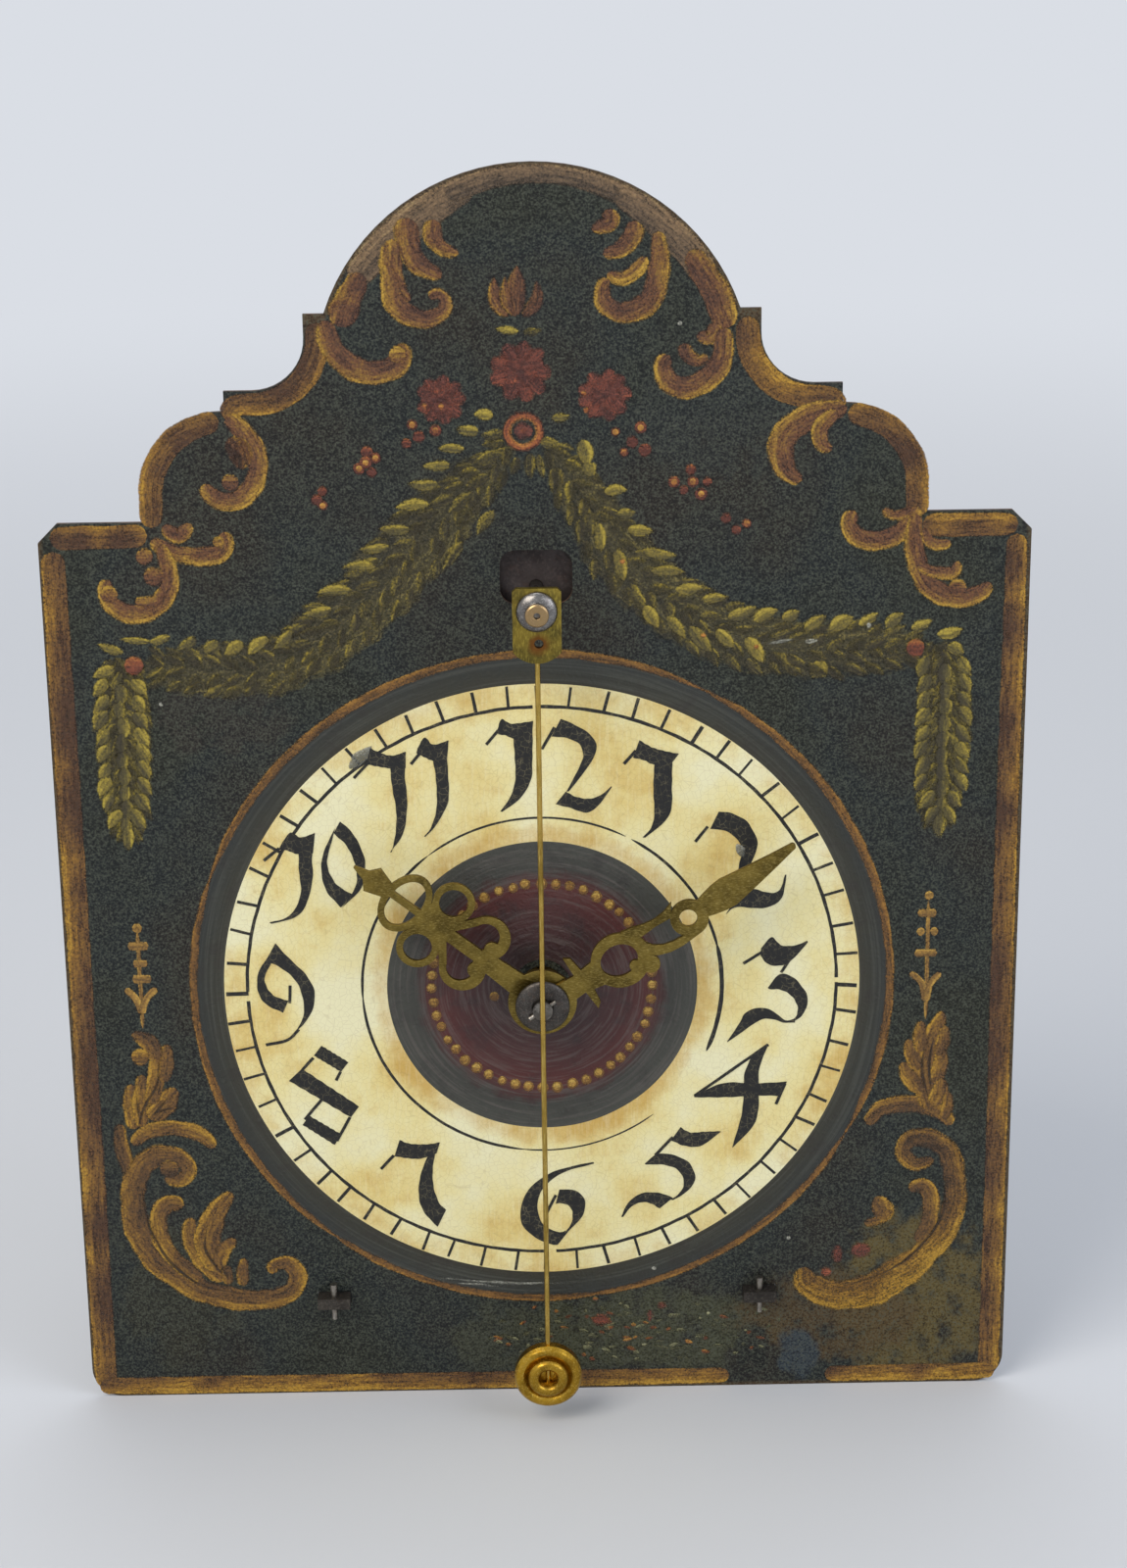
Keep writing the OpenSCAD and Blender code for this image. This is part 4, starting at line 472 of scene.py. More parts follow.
low, high = (np.array(corner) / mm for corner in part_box("pendulum_tongue"))
tongueHole = (0.4, low[1], low[2] + 4.9)
low, high = (np.array(corner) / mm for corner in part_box("verge_cap"))
capMiddle = ((low[0] + high[0]) / 2, low[1] + 0.6, (low[2] + high[2]) / 2)
rustRing = {"at": tongueHole, "ragged": 3.0, "outer": 4.6, "inner": 3.2, "share": 0.95, "colour": "#6e451c"}
brownRim = {"at": capMiddle, "ragged": 0.0, "outer": 3.0, "inner": 2.7, "share": 0.85, "colour": "#a98b5e"}
materials = {
    # rolled brass sheet, sawn out and filed, dulled to olive by a century of air, paler where it is rubbed
    "aged_brass": agedMetal("sheetBrassDulled", ("#7f6c34", "#594b24", "#b29e5c", "#54482b"),
                            1.0, 0.45, (8.0, (0.5, 1, 1.6), 0.5), 0.5),
    # drawn brass wire, polished along its length
    "pendulum_rod": agedMetal("drawnBrassWire", ("#b8994c", "#8e7433", "#e0c878", "#6b5422"),
                              1.0, 0.32, (14.0, (1, 1, 0.06), 0.3), 0.4),
    # brass sheet left thick at the pendulum's foot, gone olive, with rust from the iron pin round its hole
    "pendulum_tongue": agedMetal("sheetBrassRustStained", ("#87742f", "#5f5426", "#b3a048", "#57431f"), 0.85, 0.42,
                                 (5.0, (1, 1, 0.3), 0.4), 0.6, stain=rustRing),
    # brass turned on the lathe and rubbed bright: fine rings, gold colour
    "turned_brass": agedMetal("turnedBrassPolished", ("#b8902f", "#8b6a1f", "#e2bf62", "#5c4316"),
                              1.0, 0.28, (5.0, (1, 0.2, 1), 0.4), 0.35),
    # brass cast, filed and left to tarnish: wheels and bushes
    "cast_brass": agedMetal("castBrassFiled", ("#b0924c", "#84692f", "#cdb272", "#6a542a"),
                            1.0, 0.4, (12.0, (1, 1, 0.3), 0.5), 0.5),
    # iron forged under the hammer and oiled black-brown: scale, dents and brown bloom
    "wrought_iron": agedMetal("wroughtIronOiled", ("#47423c", "#2a2725", "#655f57", "#5b4030"),
                              0.75, 0.55, (14.0, (1, 1, 1), 0.8), 0.45, bump=0.00015),
    # sheet iron browned by rust and rubbed smooth: purple-brown
    "rusty_iron": agedMetal("sheetIronBrowned", ("#463e3c", "#322a28", "#5c504b", "#5c4034"),
                            0.35, 0.5, (5.0, (1, 1, 1), 0.6), 0.35, bump=0.00005),
    # steel filed bright and gone grey
    "bright_steel": agedMetal("filedSteelGrey", ("#9a948a", "#6d6760", "#c6c1b8", "#5a4636"),
                              1.0, 0.36, (5.0, (1, 1, 0.15), 0.3), 0.4),
    # steel darkened by heat, gone brown-grey
    "blued_steel": agedMetal("domedSteelDarkened", ("#4c4844", "#383431", "#767068", "#5c4434"),
                             0.85, 0.4, (4.0, (1, 1, 1), 0.4), 0.4),
    # thin steel spun to a dome and rubbed: silver grey
    "verge_cap": agedMetal("spunSteelRubbed", ("#7d7a77", "#5b5755", "#b9b5ae", "#6b5340"),
                           1.0, 0.3, (4.0, (1, 1, 1), 0.4), 0.4, stain=brownRim),
    # round steel turned between centres: arbors, pinions
    "arbor_steel": agedMetal("turnedSteelArbors", ("#7b766f", "#4f4b46", "#a9a49b", "#4d3d30"),
                             1.0, 0.33, (8.0, (0.3, 2, 0.3), 0.35), 0.4),
    # the plate itself, under the painted strokes
    "dial_plate": paintedIron(),
}
slotOf = {part["node"]: part["material_slot"] for part in frame["record"]["subparts"]}
for node, slot in slotOf.items():              # a node's own finish, or else its slot's
    shape = frame["nodes"][node].data
    shape.materials.clear()
    shape.materials.append(materials.get(node, materials.get(slot)))
print("CAD nodes finished:", len(frame["nodes"]))

# sawn and filed edges: a copy of the node's mesh, its doubles and the faces flat to each other merged, and every edge
# over the limit rounded off; both angles in degrees, widths in mm
softEdges = {
    "flat": 0.5, "limit": 35, "width": {
        "minute_hand": 0.16, "hour_hand": 0.16, "pendulum_tongue": 0.25, "front_cock": 0.2, "hand_washer": 0.18,
        "verge_cap": 0.1, "click_spring": 0.12, "click": 0.15, "potence": 0.3, "hanging_arch": 0.35, "wall_spurs": 0.3}}
bodyOf = {node: name for name, nodes in frame["record"]["behaviour"]["bodies"].items() for node in nodes}
for node, width in softEdges["width"].items():
    shape = bmesh.new()
    shape.from_mesh(frame["nodes"][node].data)
    bmesh.ops.remove_doubles(shape, verts=shape.verts, dist=1e-6)
    bmesh.ops.dissolve_limit(shape, angle_limit=math.radians(softEdges["flat"]), verts=shape.verts, edges=shape.edges)
    mesh = bpy.data.meshes.new(node + "Filed")
    shape.to_mesh(mesh)
    shape.free()
    mesh.polygons.foreach_set("use_smooth", np.ones(len(mesh.polygons), bool))
    mesh.materials.append(frame["nodes"][node].data.materials[0])
    piece = placed(node + "Filed", mesh)
    bevel = piece.modifiers.new("filed", "BEVEL")
    bevel.width, bevel.segments, bevel.limit_method = width * mm, 2, "ANGLE"
    bevel.angle_limit, bevel.harden_normals = math.radians(softEdges["limit"]), True
    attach(piece, bodyOf[node])
    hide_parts(node)
print("edges filed:", len(softEdges["width"]))


# paint colours from the deepest streak to the brightest touch
crestPaint = strokePaint("sienneOilStrokes", ("#482b1d", "#6c4527", "#8f6a24", "#bb9433"))
scrollPaint = strokePaint("ochreOilStrokes", ("#45301a", "#68481f", "#8a641d", "#b48a2a"))
borderPaint = strokePaint("ochreOilBand", ("#492d16", "#6f4d20", "#8c641f", "#b78c2c"), 0.5, 0.55)
archPaint = strokePaint("umberOilBand", ("#4a3c2d", "#6d5840", "#846a4b", "#9c845a"), 1.0)
leafPaint = strokePaint("oliveOilLeaves", ("#38321d", "#584f24", "#827228", "#ab9738"), 0.9, 0.4, 0.36)
hazePaint = strokePaint("greenEarthOilWash", ("#3a3626", "#544d30", "#655c34", "#776b3a"), 3.0, 0.7)
redPaint = strokePaint("redEarthOilPetals", ("#4b2822", "#6e3b2e", "#874631", "#a8603c"), 1.5, 0.3, 0.12)
berryPaint = strokePaint("orangeOilDots", ("#57291c", "#7e4229", "#9c5b2c", "#be8438"), 1.0, 0.35)
dotPaint = strokePaint("ochreOilDots", ("#6f4d22", "#8a6228", "#ab8438", "#c8a54f"), 0.5, 0.1)
chipPaint = strokePaint("paleOilTouches", ("#55564f", "#75766c", "#9a9a8e", "#c4c3b4"), 0.5, 0.4)
fleckPaint = {
    "pale": strokePaint("greenEarthFlecks", ("#4c4c33", "#666546", "#8d8c66", "#b3b18a"), 0.15, 0.3),
    "ochre": strokePaint("ochreOilFlecks", ("#6a3a1e", "#8d5426", "#ab7830", "#c79a45"), 0.15, 0.2)}
creamRing = creamPaint()
ink = inkPaint()
centrePaint = turnedPaint("maroonOilTurned", {
    "from": 10.0, "to": 40.0, "marks": 0.4, "markColour": "#645c57", "stops": [
        (0.0, "#331e1e"), (0.4, "#421c1a"), (0.6, "#4d1c17"), (0.68, "#3d2420"), (0.74, "#35352f"), (1.0, "#40413a")]})
shadePaint = turnedPaint("greyOilTurned", {
    "from": 80.0, "to": 88.5, "marks": 0.5, "markColour": "#4a4b42", "stops": [
        (0.0, "#302d20"), (0.35, "#2b2b21"), (0.7, "#262823"), (1.0, "#202423")]})
print("paints made")

# the border follows the sheet's outline a little inside it; each stroke: spine, widths, bright side, tone
border = [
    ([(-116.6, 2.4), (-116.5, 60), (-116.4, 120), (-116.5, 180), (-116.6, 230.6)], [5.4, 5.8, 5.4, 5.8, 5.5], 1, 0.4),
    ([(-117.2, 233.8), (-110, 233.9), (-100, 234.0), (-93.5, 234.2)], [5.4, 5.6, 5.4, 5.6], 1, 0.46),
    ([(-92.4, 236), (-92.3, 244)] + arc(-74.3, 244, 17.9, 170, 92, 9), [5.0, 5.6, 5.6, 5.2], 1, 0.46),
    ([(-73.5, 262.4), (-71, 265.6)] + arc(-66.9, 281.9, 15.9, 272, 358, 9) + [(-51.2, 285.5)],
     [4.6, 5.2, 5.6, 5.6, 5.2], -1, 0.46),
    ([(51.2, 285.5)] + arc(66.9, 281.9, 15.9, 182, 268, 9) + [(71, 265.6), (73.5, 262.4)],
     [5.2, 5.8, 5.8, 5.2, 4.6], 1, 0.5),
    (arc(74.3, 244, 17.8, 88, 10, 9) + [(92.1, 244), (92.2, 236)], [5.2, 5.4, 5.4, 5.0], 1, 0.46),
    ([(93.5, 234.2), (100, 233.9), (110, 233.9), (116.8, 233.8)], [5.6, 5.6, 5.6, 5.2], 1, 0.5),
    ([(116.5, 231.6), (116.4, 180), (116.4, 120), (116.5, 60), (116.4, 2.4)], [4.8, 5.2, 5.4, 5.0, 5.2], 1, 0.44),
    ([(-118.4, 3.2), (-113, 2.9), (-80, 2.8), (-30, 2.8), (10, 2.9), (48, 2.9)],
     [4.6, 4.8, 4.6, 4.6, 4.6, 4.2], -1, 0.74),
    ([(73, 2.9), (95, 2.9), (118.2, 3)], [4.2, 4.6, 4.4], -1, 0.72),
]
shells = []
for p, w, b, t in border:                   # a patch of lighter or darker colour about every 9 mm
    patches = t + dice.uniform(-0.35, 0.3, 5 + int(np.hypot(*np.subtract(p[0], p[-1])) / 9))
    shells.append(brushLine(p, np.add(w, 0.2), "round", b, patches, 0.9, 0.02))
paintPiece("paintedBorder", shells, borderPaint, 0.01)

# the arch's band, its outer edge along the sheet's: first and last angle, widths, tone
arch = {"edge": 51.8, "count": 16, "strokes": [
    (150, 106, [6, 8, 9, 8, 6], 0.5), (114, 60, [5.6, 4.8, 4.6, 5.4], 0.35), (66, 30, [5.6, 7, 7.4, 7], 0.45)]}
shells = []
for start, stop, w, t in arch["strokes"]:
    reach = arch["edge"] - evenly(w, arch["count"]) / 2
    spine = archMiddle + np.array(arc(0, 0, 1, start, stop, arch["count"])) * reach[:, None]
    shells.append(brushLine(spine, w, "round", 1, t, 0.9, 0.02))
paintPiece("paintedArch", shells, archPaint, 0.022)

# scrolls: spine, widths, bright side, tone, and body where it is thin
scrolls = [
    # crest, left half
    ([(-22.5, 309.5), (-23, 305.5), (-20.8, 302.4), (-16.8, 301.2)], [4.6, 4.4, 3.8, 2.2], -1, 0.6),
    ([(-29, 310), (-29, 304), (-26.5, 299), (-21, 295.6)], [6, 6, 5, 2.4], -1, 0.42),
    ([(-32.5, 305), (-33, 298), (-31, 292.5), (-28.6, 290)], [4.5, 5.5, 4.5, 2.5], -1, 0.6),
    ([(-34, 299), (-32.8, 291), (-29.5, 287), (-25, 285.8), (-21, 287.6), (-20.3, 290.4), (-22.3, 292),
      (-24.4, 290.8)],
     [2.5, 4.6, 5.4, 5.2, 4.6, 3.8, 3, 2.6], -1, 0.5),
    (arc(*archMiddle, 47.9, 146, 163, 9), [4.5, 6.4, 7.2, 7], -1, [0.35, 0.5, 0.3]),
    ([(-49.5, 286), (-47.2, 279), (-43, 274.6), (-37.5, 273.2), (-32.6, 274.6), (-31, 277.6), (-32.8, 279.6)],
     [4, 5.4, 6, 6, 6, 5.4, 4], -1, [0.45, 0.48, 0.6]),
    # crest, right half
    ([(18.8, 311.5), (18.2, 308), (14, 306.4)], [4.4, 4.2, 2.2], 1, 0.5),
    ([(24.6, 308.5), (23.4, 304), (20.4, 301.4), (16.6, 300.8)], [5, 5, 4, 2.4], 1, 0.45),
    ([(27.2, 300), (24.6, 296.6), (21.4, 294.8), (17.6, 296)], [2.6, 3.6, 3.6, 3], 1, 0.75),
    ([(29.8, 306), (30.2, 298), (28.6, 291), (25, 287.4), (20.6, 286.8), (17, 289.4), (16.8, 293.4), (18.6, 294.6)],
     [3.2, 4.4, 5.4, 5.8, 5.6, 5, 4.2, 2.6], 1, 0.5),
    (arc(*archMiddle, 48.1, 40, 15, 9), [5, 6.6, 7, 6.6], 1, [0.5, 0.35, 0.5]),
    ([(44, 284), (42, 280.6), (38.6, 281.2)], [4.2, 4, 2.4], 1, 0.4),
    ([(45.6, 283), (45, 276), (41.6, 270.6), (36.6, 268.6), (32, 270.2), (30.8, 274), (32.6, 276.4)],
     [4, 5, 5.8, 5.8, 5.6, 5, 3.6], 1, 0.5),
    ([(36, 279.5), (36.6, 276.4), (39.4, 275), (41.6, 276.4)], [3.6, 3.6, 3.2, 2], 1, 0.5),
    # left shoulder
    ([(-73.5, 263), (-69.2, 259.4), (-66.4, 254), (-66.6, 248), (-69.6, 243.8), (-74, 242.2), (-78, 244), (-79, 247)],
     [4, 5, 5, 5, 5, 5, 4.6, 3.4], 1, 0.6),
    ([(-73, 258), (-70.4, 254.5), (-70, 250)], [5, 6, 4], 1, 0.3, 0.6),
    ([(-93, 233), (-87.5, 229.8), (-82, 228.8), (-77, 229.2), (-74.6, 231.6), (-75.4, 235)],
     [3, 4, 4.6, 4.8, 4.6, 3], -1, 0.65),
    ([(-90, 236.5), (-86, 234), (-82.6, 237)], [3, 4, 2.6], -1, 0.45),
    ([(-90.6, 232), (-88.8, 226), (-89.4, 220), (-93, 215.8), (-98.2, 214.6), (-102.8, 216.6), (-104.4, 220.6),
      (-103.2, 223.4)],
     [3, 4.2, 4.6, 5, 5, 4.8, 4.4, 3], 1, 0.6),
    ([(-97.6, 217.6), (-92.6, 218), (-90.4, 221)], [2.4, 3, 2.4], 1, 0.5),
    # right shoulder
    ([(75, 263.4), (67, 261.6), (61, 258), (59, 252.6), (60.6, 247.6), (64.4, 245.4)],
     [4, 5.6, 6.6, 6.8, 5.6, 3], -1, 0.5),
    ([(72.6, 262.4), (68.6, 258.6), (68.8, 254.6), (71.4, 252.6)], [3, 4.2, 4, 2.4], -1, 0.55),
    ([(92.4, 238.6), (88.6, 232.4), (83, 230.4), (78, 231), (75.8, 234.4), (77, 238)],
     [3.4, 4.6, 5, 5, 4.6, 3.4], 1, 0.6),
    ([(91.4, 238), (87, 236.4), (83.6, 238)], [2.4, 2.6, 2], 1, 0.55),
    ([(91.8, 237), (91.6, 228.6), (93.6, 221.4), (98, 216.8), (103.6, 215.4), (108.4, 217), (110.6, 219.4)],
     [3.4, 4.4, 5, 5.4, 5.4, 4.6, 3], -1, 0.5),
    ([(93.6, 233.4), (95.6, 229.6), (98.8, 229), (100.6, 230)], [2.6, 3, 3, 2], -1, 0.5),
    ([(92.4, 224), (97, 222), (101.4, 222), (102.4, 225)], [2.6, 3.2, 3.4, 2.2], -1, 0.5),
    # lower left
    ([(-106, 72.6), (-102, 76.4), (-95, 77.4), (-88.6, 75.6), (-84.6, 71.6)], [3.4, 4.2, 4.4, 4.4, 3.2], 1, 0.62),
    ([(-109, 79), (-108.6, 72), (-107, 64)], [3, 4, 3.6], 1, 0.45),
    ([(-98.4, 63), (-93.6, 62.6), (-92, 66.4), (-95.4, 69.6), (-101, 69), (-105.2, 64.6), (-106.6, 57), (-106, 49),
      (-102.6, 41.4),
      (-96.4, 34.8), (-88.6, 30), (-80, 27.8), (-72, 27.8), (-66.4, 30.4), (-64.8, 34.6), (-67.2, 38), (-71, 37.6),
      (-71.6, 35)],
     [3, 4, 5, 6, 6.4, 6.6, 6.8, 7, 7.2, 7.2, 7, 6.8, 6.6, 6, 5.6, 5, 4.2, 3], -1, 0.55),
    ([(-93.4, 55.4), (-97.4, 56), (-100.2, 52.4), (-100, 46), (-96.6, 39.6), (-90, 33.6)],
     [4, 4.8, 4.8, 4.6, 4.6, 4], -1, 0.6),
    ([(-84.6, 33), (-89.6, 40), (-92.4, 46), (-92, 52)], [4, 5.4, 5, 2.6], 1, 0.6),
    ([(-86, 36), (-88, 44), (-86, 52), (-81, 59)], [5, 7, 6.4, 2.6], 1, 0.6),
    ([(-85, 37), (-84, 42), (-80.6, 45.6)], [4, 4, 2.6], -1, 0.5),
    ([(-83, 32), (-83.6, 38)], [3, 3], 1, 0.5),
    ([(-79, 31.6), (-79.4, 36), (-78.6, 40)], [3, 3.4, 2.2], 1, 0.5),
    ([(-105, 77), (-105.8, 84), (-105.2, 90)], [3.6, 4.6, 2.6], 1, 0.6),
    ([(-103.4, 77.6), (-103, 85), (-102.4, 92.6)], [3.6, 5, 3], 1, 0.66),
    ([(-101, 79.6), (-97.4, 84), (-93.8, 88.6)], [5, 6.6, 3.6], 1, 0.66),
    ([(-100.6, 84), (-98.8, 92), (-97.6, 100)], [4, 5, 3.6], 1, 0.6),
    ([(-97, 90), (-96, 96), (-95.6, 101)], [3.4, 4, 2.6], 1, 0.6),
    ([(-98.6, 96), (-100, 101), (-104.6, 104)], [4.6, 5, 2.2], 1, 0.6),
    # lower right
    ([(105, 74.6), (101, 79), (94, 80.6), (87, 79.8), (82.8, 75)], [3.4, 4.6, 5, 4.8, 3], -1, 0.5),
    ([(100.6, 65), (96, 63.6), (92.6, 66.4), (93.8, 70.4), (98.6, 71), (103.4, 68), (105.8, 61.6), (106.2, 53),
      (104.4, 45), (99, 38),
      (91.6, 31.6), (83.4, 27), (74.8, 26.4), (68.2, 29.6), (67.2, 34.6)],
     [3, 4, 5, 5.6, 5.8, 6, 6.2, 6.4, 7.4, 9, 10, 9.4, 8.4, 7.6, 5],
     1, [0.4, 0.42, 0.5, 0.75, 0.85, 0.8, 0.6], [0.85, 0.85, 0.85, 0.8, 0.75, 0.8]),
    ([(94, 56.4), (97.8, 57.4), (100.2, 53.4), (99.4, 46.6), (96.6, 41)], [3.6, 4.6, 4.6, 4.4, 3.4], 1, 0.5),
    ([(85.6, 54.6), (87.6, 50.6), (86.6, 46.6)], [3.4, 6, 3], 1, 0.55),
    ([(90.4, 50.4), (86, 47.4), (82.6, 47)], [2, 3, 2.6], 1, 0.6),
    ([(99, 79), (97.6, 88), (98.6, 97), (101.8, 106.6)], [5, 6.4, 6, 2.4], 1, 0.6),
    ([(96.6, 84), (93.4, 88.6), (91.6, 92.6)], [4, 4.4, 2.6], 1, 0.6),
    ([(96, 90), (94, 95), (93, 99)], [3.6, 4.2, 2.6], 1, 0.6),
    ([(96.6, 95), (96, 100), (96.4, 104)], [3.4, 4, 2.4], 1, 0.6),
    ([(99.6, 86), (101.4, 91), (101.6, 97)], [3.6, 4.2, 3], 1, 0.6),
    ([(100.4, 94), (102, 98), (102.4, 102.6)], [3, 3.6, 2.4], 1, 0.6),
    ([(99.6, 80), (101.6, 84), (101.8, 88)], [4, 4.6, 3], 1, 0.6),
    ([(102.6, 76), (103.6, 80), (103.6, 84)], [3, 3.2, 2.2], 1, 0.55),
]
# round heads of the scrolls: x, z, radius, tone
heads = [
    (-73, 247, 2.2, 0.4), (-92.5, 224, 2.6, 0.45), (-94.5, 229, 2.2, 0.5), (102.4, 218, 2.4, 0.5),
    (-102.6, 97.4, 2.4, 0.7),
         (-32, 277.5, 2.2, 0.8), (-76.5, 232.4, 1.5, 0.9), (-103.6, 219.6, 2.3, 0.7), (-96.8, 65.8, 2.6, 0.35)]
tulip = [  # the cup between the crest's scrolls: spine, width, tone
    ([(-4, 286), (-3.8, 292), (-3.4, 298.5)], 5.2, 0.3), ([(-5.5, 286), (-8.6, 290), (-8.8, 296)], 3.6, 0.4),
    ([(-2.5, 286), (1, 289.6), (1.2, 295)], 3.6, 0.35), ([(-4, 286), (-6.2, 290), (-6.2, 296)], 2.8, 0.5)]
for name, high, colour in (("paintedScrollsAbove", True, crestPaint), ("paintedScrollsBelow", False, scrollPaint)):
    shells = [brushLine(p, w, "round", b, evenly(t, len(p)) + dice.uniform(-0.16, 0.2, len(p)), *(rest or (0.92,)))
              for p, w, b, t, *rest in scrolls if (p[0][1] > 150) == high]
    shells += [dot(x, z, r, t) for x, z, r, t in heads if (z > 150) == high]
    if high:
        shells += [brushLine(p, w, "leaf", 1, t, 0.85, 0.03, 13) for p, w, t in tulip]
    paintPiece(name, shells, colour, 0.03)

# dark ribs drawn over the leaves of the scrolls with the point of the brush
ribs = [
    [(-104.4, 77.4), (-102, 84), (-98.6, 90), (-98, 97)], [(-103.8, 80), (-104.2, 87)], [(-100.6, 80.6),
     (-95.6, 86.4)],
    [(-100.2, 81.6), (-94.6, 83.4)], [(-84, 34.4), (-88.4, 42), (-87.8, 50)], [(-82.8, 33.4), (-85.2, 39.6)],
    [(-104.2, 63.6), (-103.4, 52), (-99.4, 41.4), (-91.4, 33), (-81, 29.8), (-70, 29.6)], [(98.8, 82), (96.8, 90),
     (97.6, 99)],
    [(99.4, 84), (98.6, 92), (99.8, 100)], [(103, 60), (103.4, 50), (98, 40.6), (90, 33.4), (80, 29.6)]]
ribPaint = strokePaint("boneBlackOilLines", ("#191512", "#221c16", "#2d241b", "#3a2e20"), 0.5, 0.6)
paintPiece("paintedRibs", [brushLine(p, 0.7, "leaf", 1, 0.5, 0.6, 0.08) for p in ribs], ribPaint, 0.1)

# thin spires above the sprays: stem, cross strokes and open crowns
spires = [
    ([(-101.5, 105), (-101.5, 132)], 0.9), ([(-104.2, 127.8), (-98.8, 127.8)], 2.2), ([(-103.1, 123),
      (-99.3, 123)], 1.8),
          ([(-103.5, 118.8), (-98.5, 118.8)], 2.2), ([(-105.4, 116.4), (-102.6, 113), (-101.5, 109)], 1.7),
          ([(-97.4, 116.4), (-100.4, 113), (-101.5, 109)], 1.7), ([(97.4, 104), (97.4, 137)], 0.9), ([(94.6, 133.3),
            (99.6, 133.3)], 2.0),
          ([(94, 122.4), (100, 122.4)], 1.9), ([(93, 117.4), (96.2, 114.2), (97.2, 109)], 1.6), ([(101, 117.2),
            (98.4, 114), (97.4, 109)], 1.6)]
shells = [brushLine(p, w, "swell", 1, 0.7, 0.95, 0.03) for p, w in spires]
crowns = [(-101.5, 132.6, 1.3), (97.5, 138, 1.2), (95.6, 128.3, 1.1), (99, 128.3, 1.1)]
shells += [dot(x, z, r, 0.8) for x, z, r in crowns]
spirePaint = strokePaint("ochreOilFineLines", ("#5a4222", "#7d5c28", "#9c7732", "#bd9743"), 0.45, 0.25)
paintPiece("paintedSpires", shells, spirePaint, 0.02)
print("border and scrolls painted")


# a leaf laid with one press of the brush: foot and tip half its length either way along its angle, a little bent
def leafShell(x, z, length, width, angle, tone, body=0.9):
    a = math.radians(angle)
    reach = np.array([math.cos(a), math.sin(a)]) * length / 2
    side = np.array([-math.sin(a), math.cos(a)]) * width * dice.uniform(-0.16, 0.16)
    up = 1 if math.cos(a) > 0 else -1                  # the upper edge takes the light
    return brushLine([(x, z) - reach, (x, z) + side, (x, z) + reach], width, "leaf", up, tone, body, 0.05, 13)


garland = {
    # x, z, length, width, angle of the tip
    "bright": [
        (-12, 262.5, 5, 3, 175), (-16, 259, 6, 3, 172), (-20, 254.5, 7, 2.6, 178), (-23.5, 250.5, 7, 2.8, 183),
        (-27, 246, 8, 3, 178),
        (-29.5, 240.5, 9, 3, 184), (-34, 235, 8, 3, 180), (-39, 230.3, 8, 2.6, 186), (-43, 225.5, 9, 2.6, 180),
        (-49, 219.5, 9, 3, 184),
        (-53.5, 214.5, 8, 3, 190), (-62, 207.5, 7, 3, 225), (-68, 206, 7, 3.3, 220), (-74, 205.5, 6, 3.5, 215),
        (-79.5, 206, 5, 3.3, 220),
        (-85.5, 207, 6, 3, 215), (-92, 208, 6, 2.5, 195), (-98, 208, 8, 2, 175), (-104, 206, 7, 2.5, 160),
        (-106, 200, 6.5, 3.4, 205),
        (19.5, 243.5, 6, 3, 5), (22, 238, 5, 3, 8), (25.5, 233.8, 7, 3, -5), (30, 228, 9, 3, -10),
        (32, 223.3, 9, 3, -3), (37.5, 219, 8, 3, 4),
        (43.5, 216.3, 7, 2.6, 5), (50, 212.8, 8, 3.5, 20), (56, 211.8, 7, 3.5, 25), (62, 211.8, 5, 3.5, 25),
        (68, 209.8, 7, 3.5, 35),
        (74.5, 209.5, 7, 4, 30), (81, 210.5, 6, 3, 30), (87.5, 210, 6, 3.5, 40), (94, 209, 6, 3.2, 25),
        (101, 207, 7, 3.2, 10),
        (102.5, 202.5, 5, 3.5, -30), (12, 253, 7, 4, -80), (13.5, 249, 4, 4, -60), (15.5, 232, 8, 3, -86),
        (20.5, 225, 9, 3.5, -80),
        (28, 212, 7, 3.5, -60), (34, 209, 8, 3, -50), (40, 206, 9, 4, -50), (46, 206, 7, 3.4, -45),
        (53, 203, 8, 4, -55),
        (-6, 283, 6, 2.2, 172), (6.5, 262, 5, 2.4, 10)],
    "dim": [
        (-58, 210.5, 7, 3, 200), (7, 243, 7, 3.4, -80), (11.5, 238, 8, 3.4, -85), (25, 217, 8, 3.4, -60),
        (61, 199, 8, 3.6, -50),
        (69, 197.5, 5, 5, -40), (-11, 252, 8, 3, 200), (-14, 246, 8, 3, 215), (-18, 241, 8, 3, 220),
        (0, 282.7, 5, 2, 8), (-10, 258, 6, 3, 190), (4, 255, 6, 3, -20), (-1, 250, 7, 3, -90),
        (-12, 236, 8, 3, 235), (-20, 228, 9, 3, 235)],
    # hanging ends: middle x, top and bottom z, half width, and how much their leaves shine
    "hang": [(-102.4, 196, 158, 4.9, 0.66), (99.8, 198, 158, 5.2, 0.5)],
    # the wash: steps along it, rows of leaves by side and share of its width, and its spines and widths
    "steps": 26, "rows": ((-1, 0.36), (1, 0.36), (-1, 0.14), (1, 0.14)),
    "haze": [
        ([(-4, 256), (-16, 245), (-28, 232), (-40, 219), (-52, 208), (-66, 201), (-82, 200), (-98, 201)],
         [8, 14, 18, 19, 18, 16, 14, 11]),
        ([(2, 256), (9, 246), (16, 234), (25, 222), (36, 213), (50, 206), (66, 203), (82, 203), (97, 203)],
         [8, 13, 16, 17, 17, 16, 15, 14, 11]),
        ([(-102, 203), (-102, 190), (-102, 176), (-102, 163), (-102.5, 156)], [9, 14, 14, 12, 6]),
        ([(99, 204), (100, 190), (100, 176), (99, 163), (98.5, 156)], [9, 13, 13, 11, 6])],
}
shells, wash = [], []
